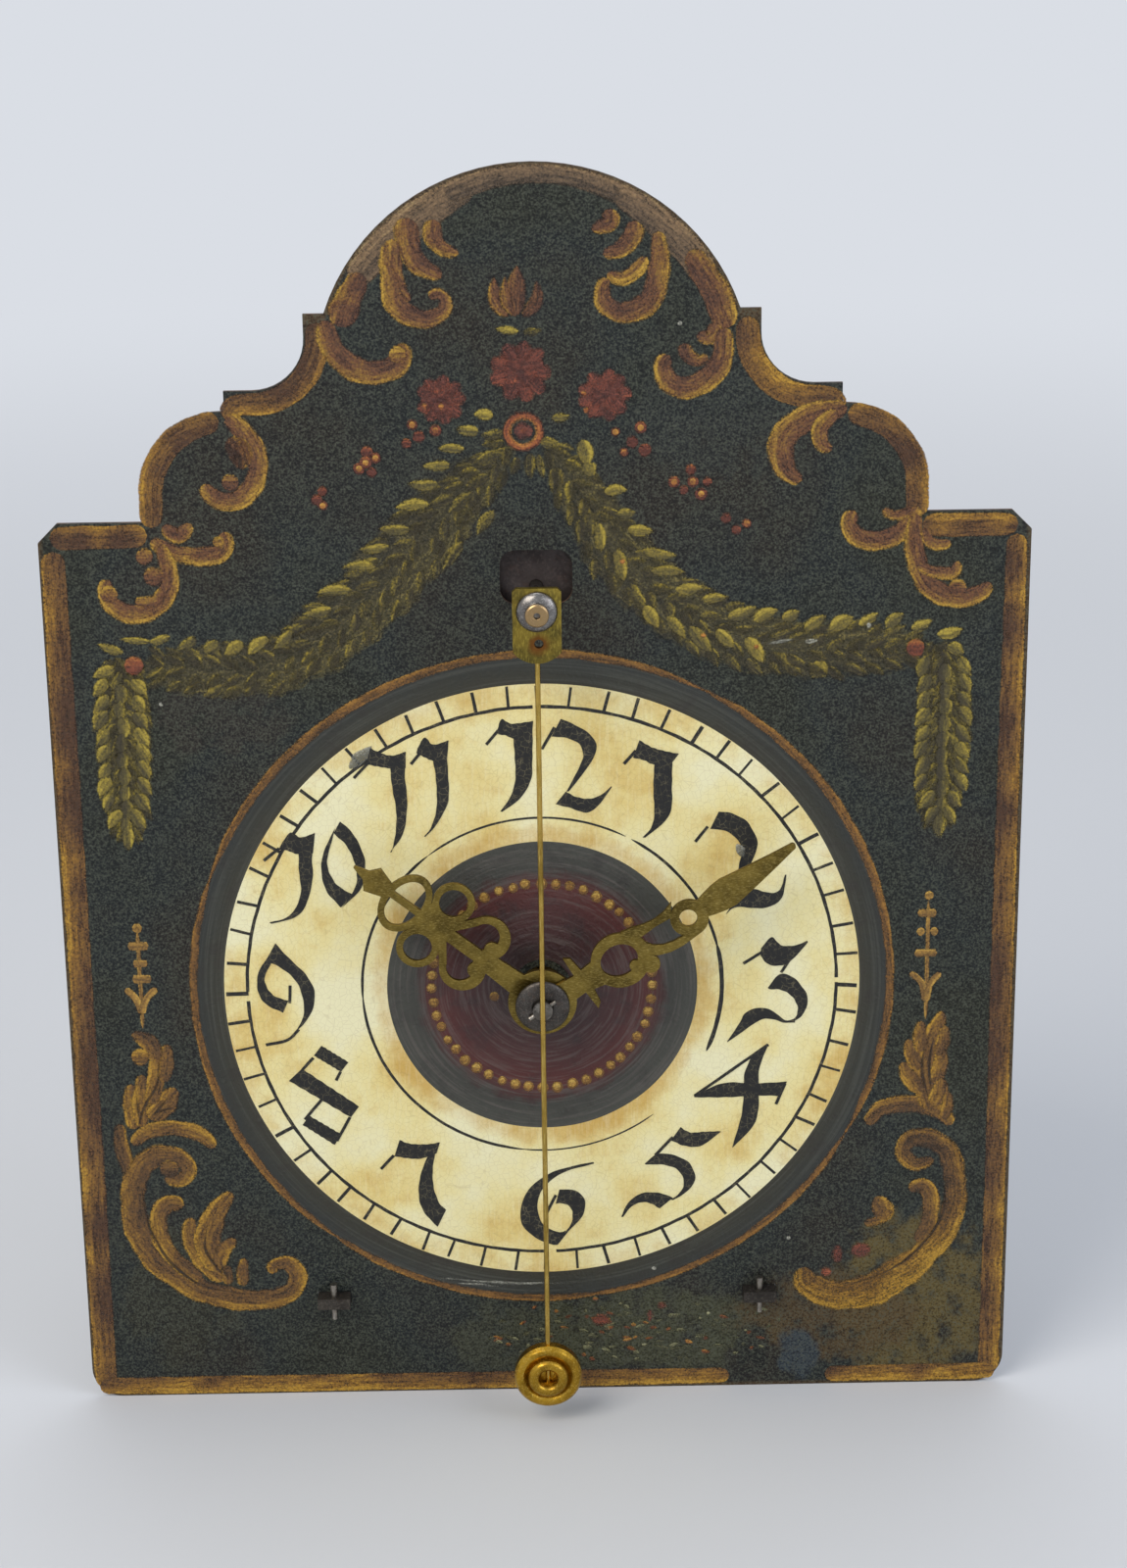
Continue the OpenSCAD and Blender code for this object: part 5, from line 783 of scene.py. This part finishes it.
for spine, widths in garland["haze"]:
    wash.append(brushLine(spine, widths, "swell", 1, 0.5, 0.6, 0.06))
    line, wide = smoothLine(spine, garland["steps"]), evenly(widths, garland["steps"])
    along = np.gradient(line, axis=0)
    side = np.stack([-along[:, 1], along[:, 0]], axis=1) / np.hypot(along[:, 0], along[:, 1])[:, None]
    heading = np.degrees(np.arctan2(along[:, 1], along[:, 0]))
    for k in range(1, garland["steps"] - 1):
        for out, share in garland["rows"]:
            turn = heading[k] + out * dice.uniform(22, 44)
            x, z = line[k] + side[k] * out * wide[k] * (share + dice.uniform(-0.07, 0.07))
            shells.append(leafShell(x, z, dice.uniform(5, 7), dice.uniform(2.2, 3.0), turn, dice.uniform(0.1, 0.5),
                                    dice.uniform(0.6, 0.85)))
shells += [leafShell(*leaf, dice.uniform(0.3, 0.55), 0.8) for leaf in garland["dim"]]
paintPiece("garlandWash", wash, hazePaint, 0.006)
paintPiece("garlandLeavesBehind", shells, leafPaint, 0.014)
shells = []
for x, top, low, wide, tone in garland["hang"]:
    for z in np.arange(top, low, -4.3):
        near = min(1, 0.35 + (z - low) / 16)               # the columns close in towards the tip
        for out, drop, dim in ((-1, 0, 0), (0, 2, 0.25), (1, 0, 0)):
            shells.append(leafShell(x + out * wide * near, z - drop, dice.uniform(5.4, 6.8), dice.uniform(3.0, 3.8),
                                    -90 + out * dice.uniform(22, 38), tone - dim + dice.uniform(-0.18, 0.2), 0.95))
    shells.append(leafShell(x, low - 1.5, 7, 3.4, -90, tone, 0.95))
shells += [leafShell(*leaf, dice.uniform(0.6, 0.9), 0.98) for leaf in garland["bright"]]
paintPiece("garlandLeavesInFront", shells, leafPaint, 0.078)

# three open flowers: x, z, radius; a soft disc, then petals in two rings whose tips scallop the edge
flowers = [(-3, 273, 7.6), (-22, 266.5, 6.2), (17, 267, 6.6)]
petals = ((0.68, 9, 0.66, 0.56), (0.34, 5, 0.46, 0.4))     # ring, how many, length, width, in shares of the radius
shells = []
for cx, cz, r in flowers:
    shells.append(brushLine([(cx - r * 0.8, cz), (cx + r * 0.8, cz)], r * 1.6, "dot", 1, 0.4, 0.95, 0.03, 21))
    for ringAt, count, size, wide in petals:
        for k in range(count):
            a = 2 * math.pi * (k + dice.uniform(-0.15, 0.15)) / count
            ray = np.array([math.cos(a), math.sin(a)]) * r
            ends = [(cx, cz) + ray * (ringAt + out * size / 2) for out in (-1, 1)]
            shells.append(brushLine(ends, r * wide, "dot", 1 if k % 2 else -1, dice.uniform(0.3, 0.62), 0.8, 0.05, 13))
    shells.append(dot(cx, cz, r * 0.17, 0.1))
shells += [dot(-2.5, 258.5, 2.4, 0.3), dot(-2.3, 258.6, 1.1, 0.95, 0.6)]
# rubbed red blossoms by the plate's foot: spine, width, tone
touches = [
    ([(76, 35.4), (76, 41)], 3, 0.6), ([(79.4, 39), (84.8, 39.4)], 4.6, 0.5), ([(71.6, 33), (74.6, 33)], 2.6, 0.9),
           ([(11.6, 20), (16.6, 20.4)], 3.6, 0.8), ([(27, 19.2), (27, 23)], 2.2, 0.5), ([(28.8, 24),
             (31.4, 24)], 2, 0.8)]
shells += [brushLine(p, w, "dot", 1, t, 0.8, 0.06, 13) for p, w, t in touches]
paintPiece("paintedFlowers", shells, redPaint, 0.1)

# berries along the garlands: the first list by x and z, their light hearts on every second one
berries = [
    (-29, 260.5), (-27.5, 257.5), (-23.5, 259), (-30.5, 256), (-38, 252.5), (-40, 254), (-42, 250), (-39, 249),
    (-40.4, 251.4),
           (-51, 244.5), (-51, 241), (-52.4, 242.4), (25.5, 259), (23.5, 255.5), (19.5, 258), (26.5, 253.5),
           (21.5, 253),
           (37.5, 248.5), (33.5, 245.5), (41.5, 245.5), (40, 242.5), (35.8, 243.5), (38, 245.6), (48.5, 233.5),
           (51, 235), (46, 236.4)]
shells = [dot(x, z, 1.5 + dice.uniform(-0.3, 0.2), dice.uniform(0.0, 0.35)) for x, z in berries]
hearts = [dot(x, z, 0.8, dice.uniform(0.3, 1.0), 0.95, 0.2) for x, z in berries[::2]]
specks = [(-26, 265), (-22, 264.8), (12, 267.5), (12.5, 263.5), (21, 226), (40.6, 207), (53.6, 204)]
shells += [dot(x, z, 0.75, 0.95) for x, z in specks]
shells += [dot(-98.5, 201.5, 2.5, 0.45), dot(92.5, 203, 2.4, 0.45)]
shells.append(brushLine(arc(-2.5, 258.5, 3.9, 0, 360, 40), 2.0, tone=0.75, body=0.9, waver=0.04))
paintPiece("paintedBerries", shells, berryPaint, 0.17)
paintPiece("berryHearts", hearts, fleckPaint["ochre"], 0.21, 0.0)

# places where the top film is chipped or dusty: spine, width, tone
chips = [
    ([(-47, 174), (-44, 177), (-41, 180)], 3, 0.5), ([(49, 150.4), (51.2, 151.4)], 3.4, 0.6), ([(65, 205),
      (69, 205.4)], 0.9, 0.9),
         ([(80.4, 209), (81.8, 209)], 1.2, 0.9), ([(35, 283.4), (35, 284.8)], 1.0, 0.9), ([(-92.5, 191),
           (-92.4, 192.2)], 1.0, 0.9),
         ([(62.6, 43), (63.8, 43.2)], 1.1, 0.9), ([(28, 34.4), (28.2, 35.6)], 1.1, 0.9), ([(-30, 33.4), (-12, 31.4),
           (8, 31)], 0.7, 0.5),
         ([(-24, 31.6), (-10, 30.2)], 0.6, 0.4), ([(56, 204.6), (63, 205.8)], 0.7, 0.5)]
paintPiece("paleTouches", [brushLine(p, w, "leaf", 1, t, 0.8, 0.1, 15) for p, w, t in chips], chipPaint, 0.15)

# small flecks where the foot of the plate was rubbed: middle, half sizes in mm, how many of each paint
flecks = {"x": 24, "z": 17, "wide": 40, "high": 10, "counts": {"pale": 90, "ochre": 40}}
for kind, paint in fleckPaint.items():
    shells = []
    for k in range(flecks["counts"][kind]):
        a, r = dice.uniform(0, 2 * math.pi), dice.uniform(0, 1) ** 0.6
        x, z = flecks["x"] + flecks["wide"] * r * math.cos(a), flecks["z"] + flecks["high"] * r * math.sin(a)
        dx, dz = dice.uniform(0.5, 1.5), dice.uniform(-0.5, 0.5)
        width, tone = dice.uniform(0.7, 1.2), dice.uniform(0.0, 0.8)
        shells.append(brushLine([(x - dx, z - dz), (x + dx, z + dz)], width, "leaf", 1, tone, 0.75, 0.1, 7, 0.2))
    paintPiece(kind + "Flecks", shells, paint, 0.1)
print("garlands and flowers painted")

# rings of the dial: inner and outer radius, rows round the ring, columns across it
paintPiece("greyOuterBand", [ringShell(80.0, 88.6, 300)], shadePaint, 0.006)
paintPiece("creamRing", [ringShell(39.2, 80.4, 320, 20)], creamRing, 0.03)
paintPiece("maroonCentre", [ringShell(7.4, 39.6, 240, 16)], centrePaint, 0.012)
# the line round the grey band in five pulls of the brush: first and last angle, width
ringLine = {"r": 88.1, "swell": (0.7, 1, 1.1, 0.9, 1, 0.6), "pulls": [
    (64, -30, 2.2), (-28, -84, 1.8), (-80, -130, 1.9), (-127, -202, 2.0), (-199, -299, 2.2)]}
shells = []
for start, stop, w in ringLine["pulls"]:
    widths = np.multiply(ringLine["swell"], w)
    shells.append(brushLine(arc(*middle, ringLine["r"], start, stop, 40), widths, "swell", body=0.9))
linePaint = strokePaint("ochreOilRingLine", ("#4e3618", "#75501f", "#8e6424", "#a57a2c"), 0.6, 0.3)
paintPiece("ochreRingLine", shells, linePaint, 0.02)
# a ring of dots, each a dark round with a light one on it
dotRing = {"count": 48, "r": 28, "dark": 1.45, "light": 1.0}
shells = []
for k in range(dotRing["count"]):
    a = 2 * math.pi * (k + dice.uniform(-0.08, 0.08)) / dotRing["count"]
    r = dotRing["r"] + dice.uniform(-0.25, 0.25)
    x, z = middle[0] + r * math.cos(a), middle[1] + r * math.sin(a)
    grow = dice.uniform(0.88, 1.1)
    shells.append(dot(x, z, dotRing["dark"] * grow, 0.2))
    shells.append(dot(x - 0.1, z + 0.12, dotRing["light"] * grow, dice.uniform(0.6, 1.0)))
shells.append(dot(-12.2, 112.4, 1.3, 0.35))
paintPiece("ochreDots", shells, dotPaint, 0.03)

# the minute track: ticks between two radii, the ring they stand on, and the thin ring inside the numerals; the rings
# are drawn in pulls given by their first and last angle
track = {
    "minutes": 60, "foot": 74.3, "head": 80.2, "tick": 0.75, "hour": 1.25,
    "ring": 74.5, "ringWidth": 0.85, "inner": 45.5,
    "pulls": [(90, 1), (0, -88), (-90, -178), (-180, -269)],
    "innerPulls": [
        (128, 62, 0.55), (60, 12, 0.75), (14, -24, 1.1), (-52, -98, 0.4), (-96, -178, 0.75), (-176, -232, 0.7)]}
shells = []
for k in range(track["minutes"]):
    a = math.pi / 2 - 2 * math.pi * (k + dice.uniform(-0.09, 0.09)) / track["minutes"]
    lean = a + dice.uniform(-0.006, 0.006)
    width = track["tick"] * (1 if k % 5 else track["hour"]) * dice.uniform(0.8, 1.15)
    reach = ((track["foot"], a), (track["head"] + dice.uniform(-0.5, 0.1), lean))
    ends = [(middle[0] + r * math.cos(turn), middle[1] + r * math.sin(turn)) for r, turn in reach]
    shells.append(brushLine(ends, width, count=6, soft=0))
for start, stop in track["pulls"]:
    shells.append(brushLine(arc(*middle, track["ring"], start, stop, 50), track["ringWidth"], waver=0.1, soft=0))
for start, stop, w in track["innerPulls"]:
    shells.append(brushLine(arc(*middle, track["inner"], start, stop, 40), w, "swell", soft=0))
paintPiece("minuteTrack", shells, ink, 0.06)
print("rings and minute track painted")

# broad strokes by their two edges, hairlines by their middle, drawn as with a flat brush; hair is a hairline's width,
# rows how many rows a broad stroke has, ragged how far its edges waver
numerals = {
    "hair": 0.75, "rows": 40, "ragged": 0.05,
    "broad": [
        # 12
        ([(-10.2, 183.2), (-9, 186.3), (-6.6, 185.1), (-1.3, 185.7)],
         [(-9.9, 182.4), (-8, 182.1), (-6.2, 181.3), (-1.6, 181)]),
        ([(-6.2, 181.6), (-5.9, 176), (-5.9, 170.5), (-7.2, 166), (-9.7, 162.3)],
         [(-1.4, 183), (-1.6, 176), (-2, 170.5), (-4.8, 165.6), (-9.3, 162.1)]),
        ([(5.6, 186.2), (10, 184), (13.2, 181.5), (14.3, 178.5), (13, 175), (9.5, 170), (7.3, 167.2)],
         [(3.2, 181.6), (6.5, 181.3), (9.8, 179.8), (11, 177), (10.2, 174), (8, 169.6), (6.8, 167.2)]),
        ([(6.6, 167.2), (9, 165.8), (12.5, 165.2), (15.5, 166.3), (17.9, 168.4)],
         [(4, 163.9), (7.6, 162.9), (11.6, 161.6), (14.6, 163.4), (18, 168.2)]),
        # 1
        ([(24.9, 180.3), (28, 178.4), (31.5, 177.3), (34.6, 176.6)],
         [(23.3, 175.8), (26, 175.1), (28.6, 173.9), (33, 174.4)]),
        ([(28.6, 174.3), (28.3, 168), (28.5, 161), (27.7, 157.3), (25.6, 154.8)],
         [(33, 175.6), (32.9, 168), (32.8, 162.5), (31, 158.8), (26.2, 154.7)]),
        # 2
        ([(44.6, 161.3), (47.6, 160.8), (51.5, 158.6), (54, 154), (54, 151), (51.5, 144.5), (50.3, 140.4)],
         [(42.4, 156.7), (45.5, 156.4), (48.3, 154.8), (50.4, 151.6), (50.2, 149.3), (49.5, 146), (49.6, 140.6)]),
        ([(50.3, 140.4), (52.5, 140.8), (57.5, 139.4), (60, 140.3), (61.2, 144.2)],
         [(46.4, 133.8), (49, 135.7), (56, 135.4), (60.3, 137.8), (61.6, 144.2)]),
        # 3
        ([(55.4, 124.5), (58, 127.4), (60.4, 125.2), (64, 125.1), (67, 126.3)],
         [(55.2, 122.4), (57.4, 120), (61, 119.8), (63.6, 121.6), (67.2, 125.9)]),
        ([(57.2, 113.7), (60, 117.2), (63.4, 116.5), (66.6, 112.6), (67.3, 109.5), (66, 106), (64, 104.3)],
         [(57.4, 113.3), (60.6, 113), (63.2, 111.3), (64.7, 108.6), (64.7, 106.5), (64.1, 105.2), (63, 104.6)]),
        ([(64, 104.9), (61.5, 104.7), (58.5, 107.2), (55, 108.2), (51.5, 106.8), (50, 104), (47, 99.1)],
         [(64.2, 104), (61.5, 104), (58, 105.1), (55.5, 104.9), (52.5, 103), (50.6, 101.5), (46.9, 98.8)]),
        # 4
        ([(57.4, 98), (55.3, 92), (55, 88), (55, 80), (53.5, 75), (48.6, 69.4)],
         [(53, 94.4), (51.4, 90), (51.2, 85), (51, 81), (50.4, 77), (48.3, 69.2)]),
        ([(38.5, 84.1), (46, 87.4), (54, 87.2), (62.2, 87.5)], [(38.5, 83.6), (47, 83.5), (55, 83.8), (60.6, 83.6)]),
        # 5
        ([(35, 75.2), (37.5, 73.7), (41, 73.8), (45.4, 73.9)], [(32.6, 71.6), (36, 70), (40.3, 69.9), (45.2, 73.6)]),
        ([(25.8, 65.1), (29, 67.7), (33, 67.4), (37, 65.3), (38.8, 61.5), (38, 58.5), (35.5, 56), (33, 54.5)],
         [(26, 64.8), (30.5, 64.7), (34, 63.4), (35.6, 61), (35.8, 58.5), (34.8, 56.6), (33.5, 55.3), (32.2, 54.8)]),
        ([(33, 55.2), (29.5, 56.6), (25, 56.6), (21.5, 54), (19.6, 50)],
         [(29.6, 52.2), (27, 53.8), (24.5, 54), (22, 52.6), (20.1, 49.9)]),
        # 6
        ([(12.6, 65.8), (6, 64.4), (1, 62.6), (-4, 58.6), (-6.4, 53), (-6, 48), (-3, 44.6), (1.4, 42.3), (3, 42.2)],
         [(12.6, 65.3), (6, 63.5), (2, 61.2), (-1.2, 57.5), (-2.1, 53), (-1.2, 49), (1.2, 46.6), (3.8, 45.8),
          (5.2, 46.3)]),
        ([(3, 42.2), (6, 46.2), (9.4, 50.2), (10.3, 54), (9.2, 56.7), (6.6, 58), (3.6, 58)],
         [(4.6, 45.2), (6.6, 48.2), (7, 51), (6.4, 53), (4.6, 54.1), (2.7, 54.1), (2.7, 54.1)]),
        # 7
        ([(-37.3, 72.9), (-34.5, 71.8), (-30, 71.6), (-26.9, 72.1)],
         [(-38.7, 68.4), (-35.5, 67.8), (-32, 67.6), (-27.9, 69)]),
        ([(-27, 72), (-28.3, 68.5), (-29, 64), (-28.8, 59), (-27.4, 54.6), (-25.8, 52.8)],
         [(-30.3, 67.9), (-31.8, 64), (-32.7, 59.5), (-32.5, 55), (-31, 51.5), (-28.1, 48)]),
        # 8
        ([(-56.4, 99.7), (-49.7, 95)],
         [(-58.4, 97), (-51.7, 92.4)]), ([(-61.6, 93.4), (-47.4, 82.6)],
         [(-65, 90.1), (-49.6, 79.6)]),
        ([(-60.2, 80.2), (-52.2, 74.8)], [(-62, 77.7), (-54, 71.9)]),
        # 9
        ([(-67, 127.9), (-63.5, 123.6), (-59.8, 119.5), (-57.7, 115), (-58.2, 110), (-60.5, 106), (-62.5, 104)],
         [(-69.6, 123.2), (-66, 121.4), (-62.6, 118.2), (-61, 114.6), (-60.4, 110), (-61.1, 106.8), (-62.4, 104.4)]),
        ([(-69.2, 124), (-71.6, 120), (-71.9, 115), (-70, 111.4), (-65.8, 109)],
         [(-67.9, 123.2), (-70, 119), (-69.6, 116), (-67.8, 113.6), (-64.4, 112.2)]),
        # 10
        ([(-64, 155.2), (-62, 157.5), (-59.5, 156.2), (-56, 157.3)],
         [(-65.2, 153), (-63, 152.8), (-60.4, 151.8), (-56.6, 152)]),
        ([(-56, 157.2), (-56.9, 151), (-57, 145), (-59, 138), (-62, 134.8), (-67.8, 133.3)],
         [(-60.2, 152), (-60.3, 147), (-60, 142), (-61.4, 137.6), (-64, 134.8), (-68.2, 133.6)]),
        ([(-51, 158.4), (-54, 152), (-54.7, 147), (-53.6, 141.8), (-50.2, 137.4)],
         [(-51.5, 156.2), (-53, 151), (-53, 147.6), (-51, 143.5), (-47, 140.6)]),
        ([(-49.6, 160.3), (-46.4, 156.8), (-44, 151), (-43.9, 146.5), (-45.2, 142), (-50, 137.3)],
         [(-51.3, 157.2), (-48.2, 153.8), (-46.4, 149.5), (-45.9, 146.4), (-46.3, 143), (-48.5, 139)]),
        # 11
        ([(-41.6, 179.4), (-39, 178), (-36, 177.3), (-32.8, 178.3)],
         [(-42.6, 175.2), (-40, 174.6), (-36.5, 174), (-33, 174)]),
        ([(-32.8, 178.2), (-33.2, 172), (-32.8, 165), (-34, 157), (-37.4, 151.9)],
         [(-36.8, 174.6), (-36.4, 169), (-35.6, 163), (-35.9, 157), (-37, 152)]),
        ([(-29.8, 179.2), (-28, 181.9), (-26, 180), (-22.2, 181)],
         [(-30.2, 177.8), (-28.6, 177), (-26, 175.8), (-23, 176.2)]),
        ([(-22.2, 180.8), (-22.6, 176), (-22.4, 168), (-23, 164), (-26, 158.6), (-28.6, 155.8)],
         [(-26.2, 176.4), (-25.6, 172), (-25.4, 166), (-25.8, 162), (-27.2, 158), (-28.8, 156)]),
    ],
    "hairlines": [
        [(-12.9, 179.8), (-9.9, 183.4)], [(0.8, 178.4), (4, 184)], [(21, 174.2), (24, 177.6)], [(38.7, 153.4),
         (41.8, 157.4)],
        [(50.9, 120.4), (56, 123.7)], [(63, 122), (60.5, 117.8)], [(38.6, 84), (57.4, 98)], [(61.8, 87),
         (59.5, 81.3)],
        [(33, 72.5), (28.5, 67.4)], [(2.7, 56.5), (-0.2, 50.5)], [(-42.3, 64.8), (-38.9, 68.6)], [(-58.6, 96.4),
         (-61.4, 93.2)],
        [(-51.8, 92.4), (-53, 90)], [(-57, 84.5), (-61.4, 79.2)], [(-49.8, 79.6), (-53.4, 73)], [(-62, 104.3),
         (-65, 101.4), (-70.5, 100.2)],
        [(-64, 111.6), (-63.7, 116.4)], [(-69, 150.2), (-65, 153.4)], [(-45.8, 171.6), (-42.3, 175.4)],
        [(-31.6, 175), (-29, 178.2)],
    ],
}
shells = []
for edges in numerals["broad"]:
    first, second = (smoothLine(edge, numerals["rows"]) for edge in edges)
    ragged = np.sin(np.arange(numerals["rows"]) * 0.9 + dice.uniform(0, 6))[:, None] * numerals["ragged"]
    shells.append(strokeShell(first + ragged, second - ragged))
shells += [brushLine(points, numerals["hair"], count=10, soft=0) for points in numerals["hairlines"]]
paintPiece("numerals", shells, ink, 0.13)
print("numerals painted")
# a round sheet of pale paper under everything: point(r, a) = (r sin a, r cos a), from the middle to the rim
room = {"rim": 7.0, "near": 0.3, "far": 1.5, "under": -0.0001, "rings": 12, "spokes": 64,
        "floor": "#c9ccd1", "haze": "#dadee5", "light": "#e6eaf0"}
rings, spokes = room["rings"], room["spokes"]
r = np.linspace(0, 1, rings + 1)[1:, None] ** 2 * room["rim"]
a = np.linspace(0, 2 * math.pi, spokes, endpoint=False)
grid = np.stack([r * np.sin(a), r * np.cos(a), np.full((rings, spokes), room["under"])], axis=2).reshape(-1, 3)
points = np.vstack([grid, [(0, 0, room["under"])]])
i, j = (n.ravel() for n in np.meshgrid(np.arange(rings - 1) * spokes, np.arange(spokes), indexing="ij"))
after = (j + 1) % spokes
quads = np.stack([i + j, i + after, i + spokes + after, i + spokes + j], axis=1).tolist()
quads += [(rings * spokes, (k + 1) % spokes, k) for k in range(spokes)]


# 1 where the camera, a gloss or a clear film looks, 0 for the light that falls on things
def seenRay(add):
    rays = add("LightPath").node.outputs
    some = add("Math", {0: rays["Is Camera Ray"], 1: rays["Is Glossy Ray"]}, operation="MAXIMUM")
    return add("Math", {0: some, 1: rays["Is Transmission Ray"]}, operation="MAXIMUM")


# matt paper near the clock, going over to the plain colour of the haze further out
paper, add = emptyMaterial("paleBackdropPaper")
apart = add("VectorMath", {0: add("TexCoord", out=3)}, out=1, operation="LENGTH")
away = add("MapRange", {0: apart, 1: room["near"], 2: room["far"]}, interpolation_type="SMOOTHSTEP")
away = add("Math", {0: away, 1: seenRay(add)}, operation="MULTIPLY")
plain = add("BsdfPrincipled", {"Base Color": tint(room["floor"]), "Roughness": 0.8})
glow = add("Emission", {"Color": tint(room["haze"]), "Strength": 1.0})
add("OutputMaterial", {0: add("MixShader", {0: away, 1: plain, 2: glow})})
meshPiece("backdrop", points, quads, paper)

world = bpy.data.worlds.new("softRoom")
world.use_nodes = True
world.node_tree.nodes.clear()
add = partial(addNode, world.node_tree)
lightOn = add("Background", {"Color": tint(room["light"]), "Strength": 0.55})
haze = add("Background", {"Color": tint(room["haze"]), "Strength": 1.0})
add("OutputWorld", {0: add("MixShader", {0: seenRay(add), 1: lightOn, 2: haze})})
bpy.context.scene.world = world

lamps = [  # name, place, aim, size, power, colour
    ("softKey", (-0.75, -0.9, 1.25), (0, 0, 0.15), 0.9, 15.0, "#fff8ee"),
    ("softFill", (1.0, -0.7, 0.8), (0, 0, 0.15), 0.9, 6.0, "#eef3ff"),
    ("backWash", (0.0, 0.35, 1.3), (0, 0.6, 0.3), 0.8, 5.0, "#ffffff"),
]
for name, place, aim, size, power, colour in lamps:
    lamp = bpy.data.lights.new(name, "AREA")
    lamp.size, lamp.energy, lamp.color = size, power, tint(colour)[:3]
    thing = placed(name, lamp)
    thing.location = place
    thing.rotation_euler = (Vector(aim) - Vector(place)).to_track_quat("-Z", "Y").to_euler()

# the camera's place in mm, its two axes, and its lens
shot = {"place": (-1.6, -802.5, 437.9), "forward": (0.00934, 0.94427, -0.32905), "up": (0.0158, 0.3289, 0.9442),
        "lens": 75.69, "sensor": 36.0}
eye = bpy.data.cameras.new("camera")
eye.lens, eye.sensor_width = shot["lens"], shot["sensor"]
camera = placed("camera", eye)
ahead, up = Vector(shot["forward"]).normalized(), Vector(shot["up"]).normalized()
right = ahead.cross(up).normalized()
up = right.cross(ahead)
turned = Matrix((right, up, -ahead)).transposed().to_4x4()
camera.matrix_world = Matrix.Translation(Vector(shot["place"]) * mm) @ turned
bpy.context.scene.camera = camera
bpy.context.scene.view_settings.view_transform = "Standard"
print("stage, lamps and camera set")

bpy.context.view_layer.update()
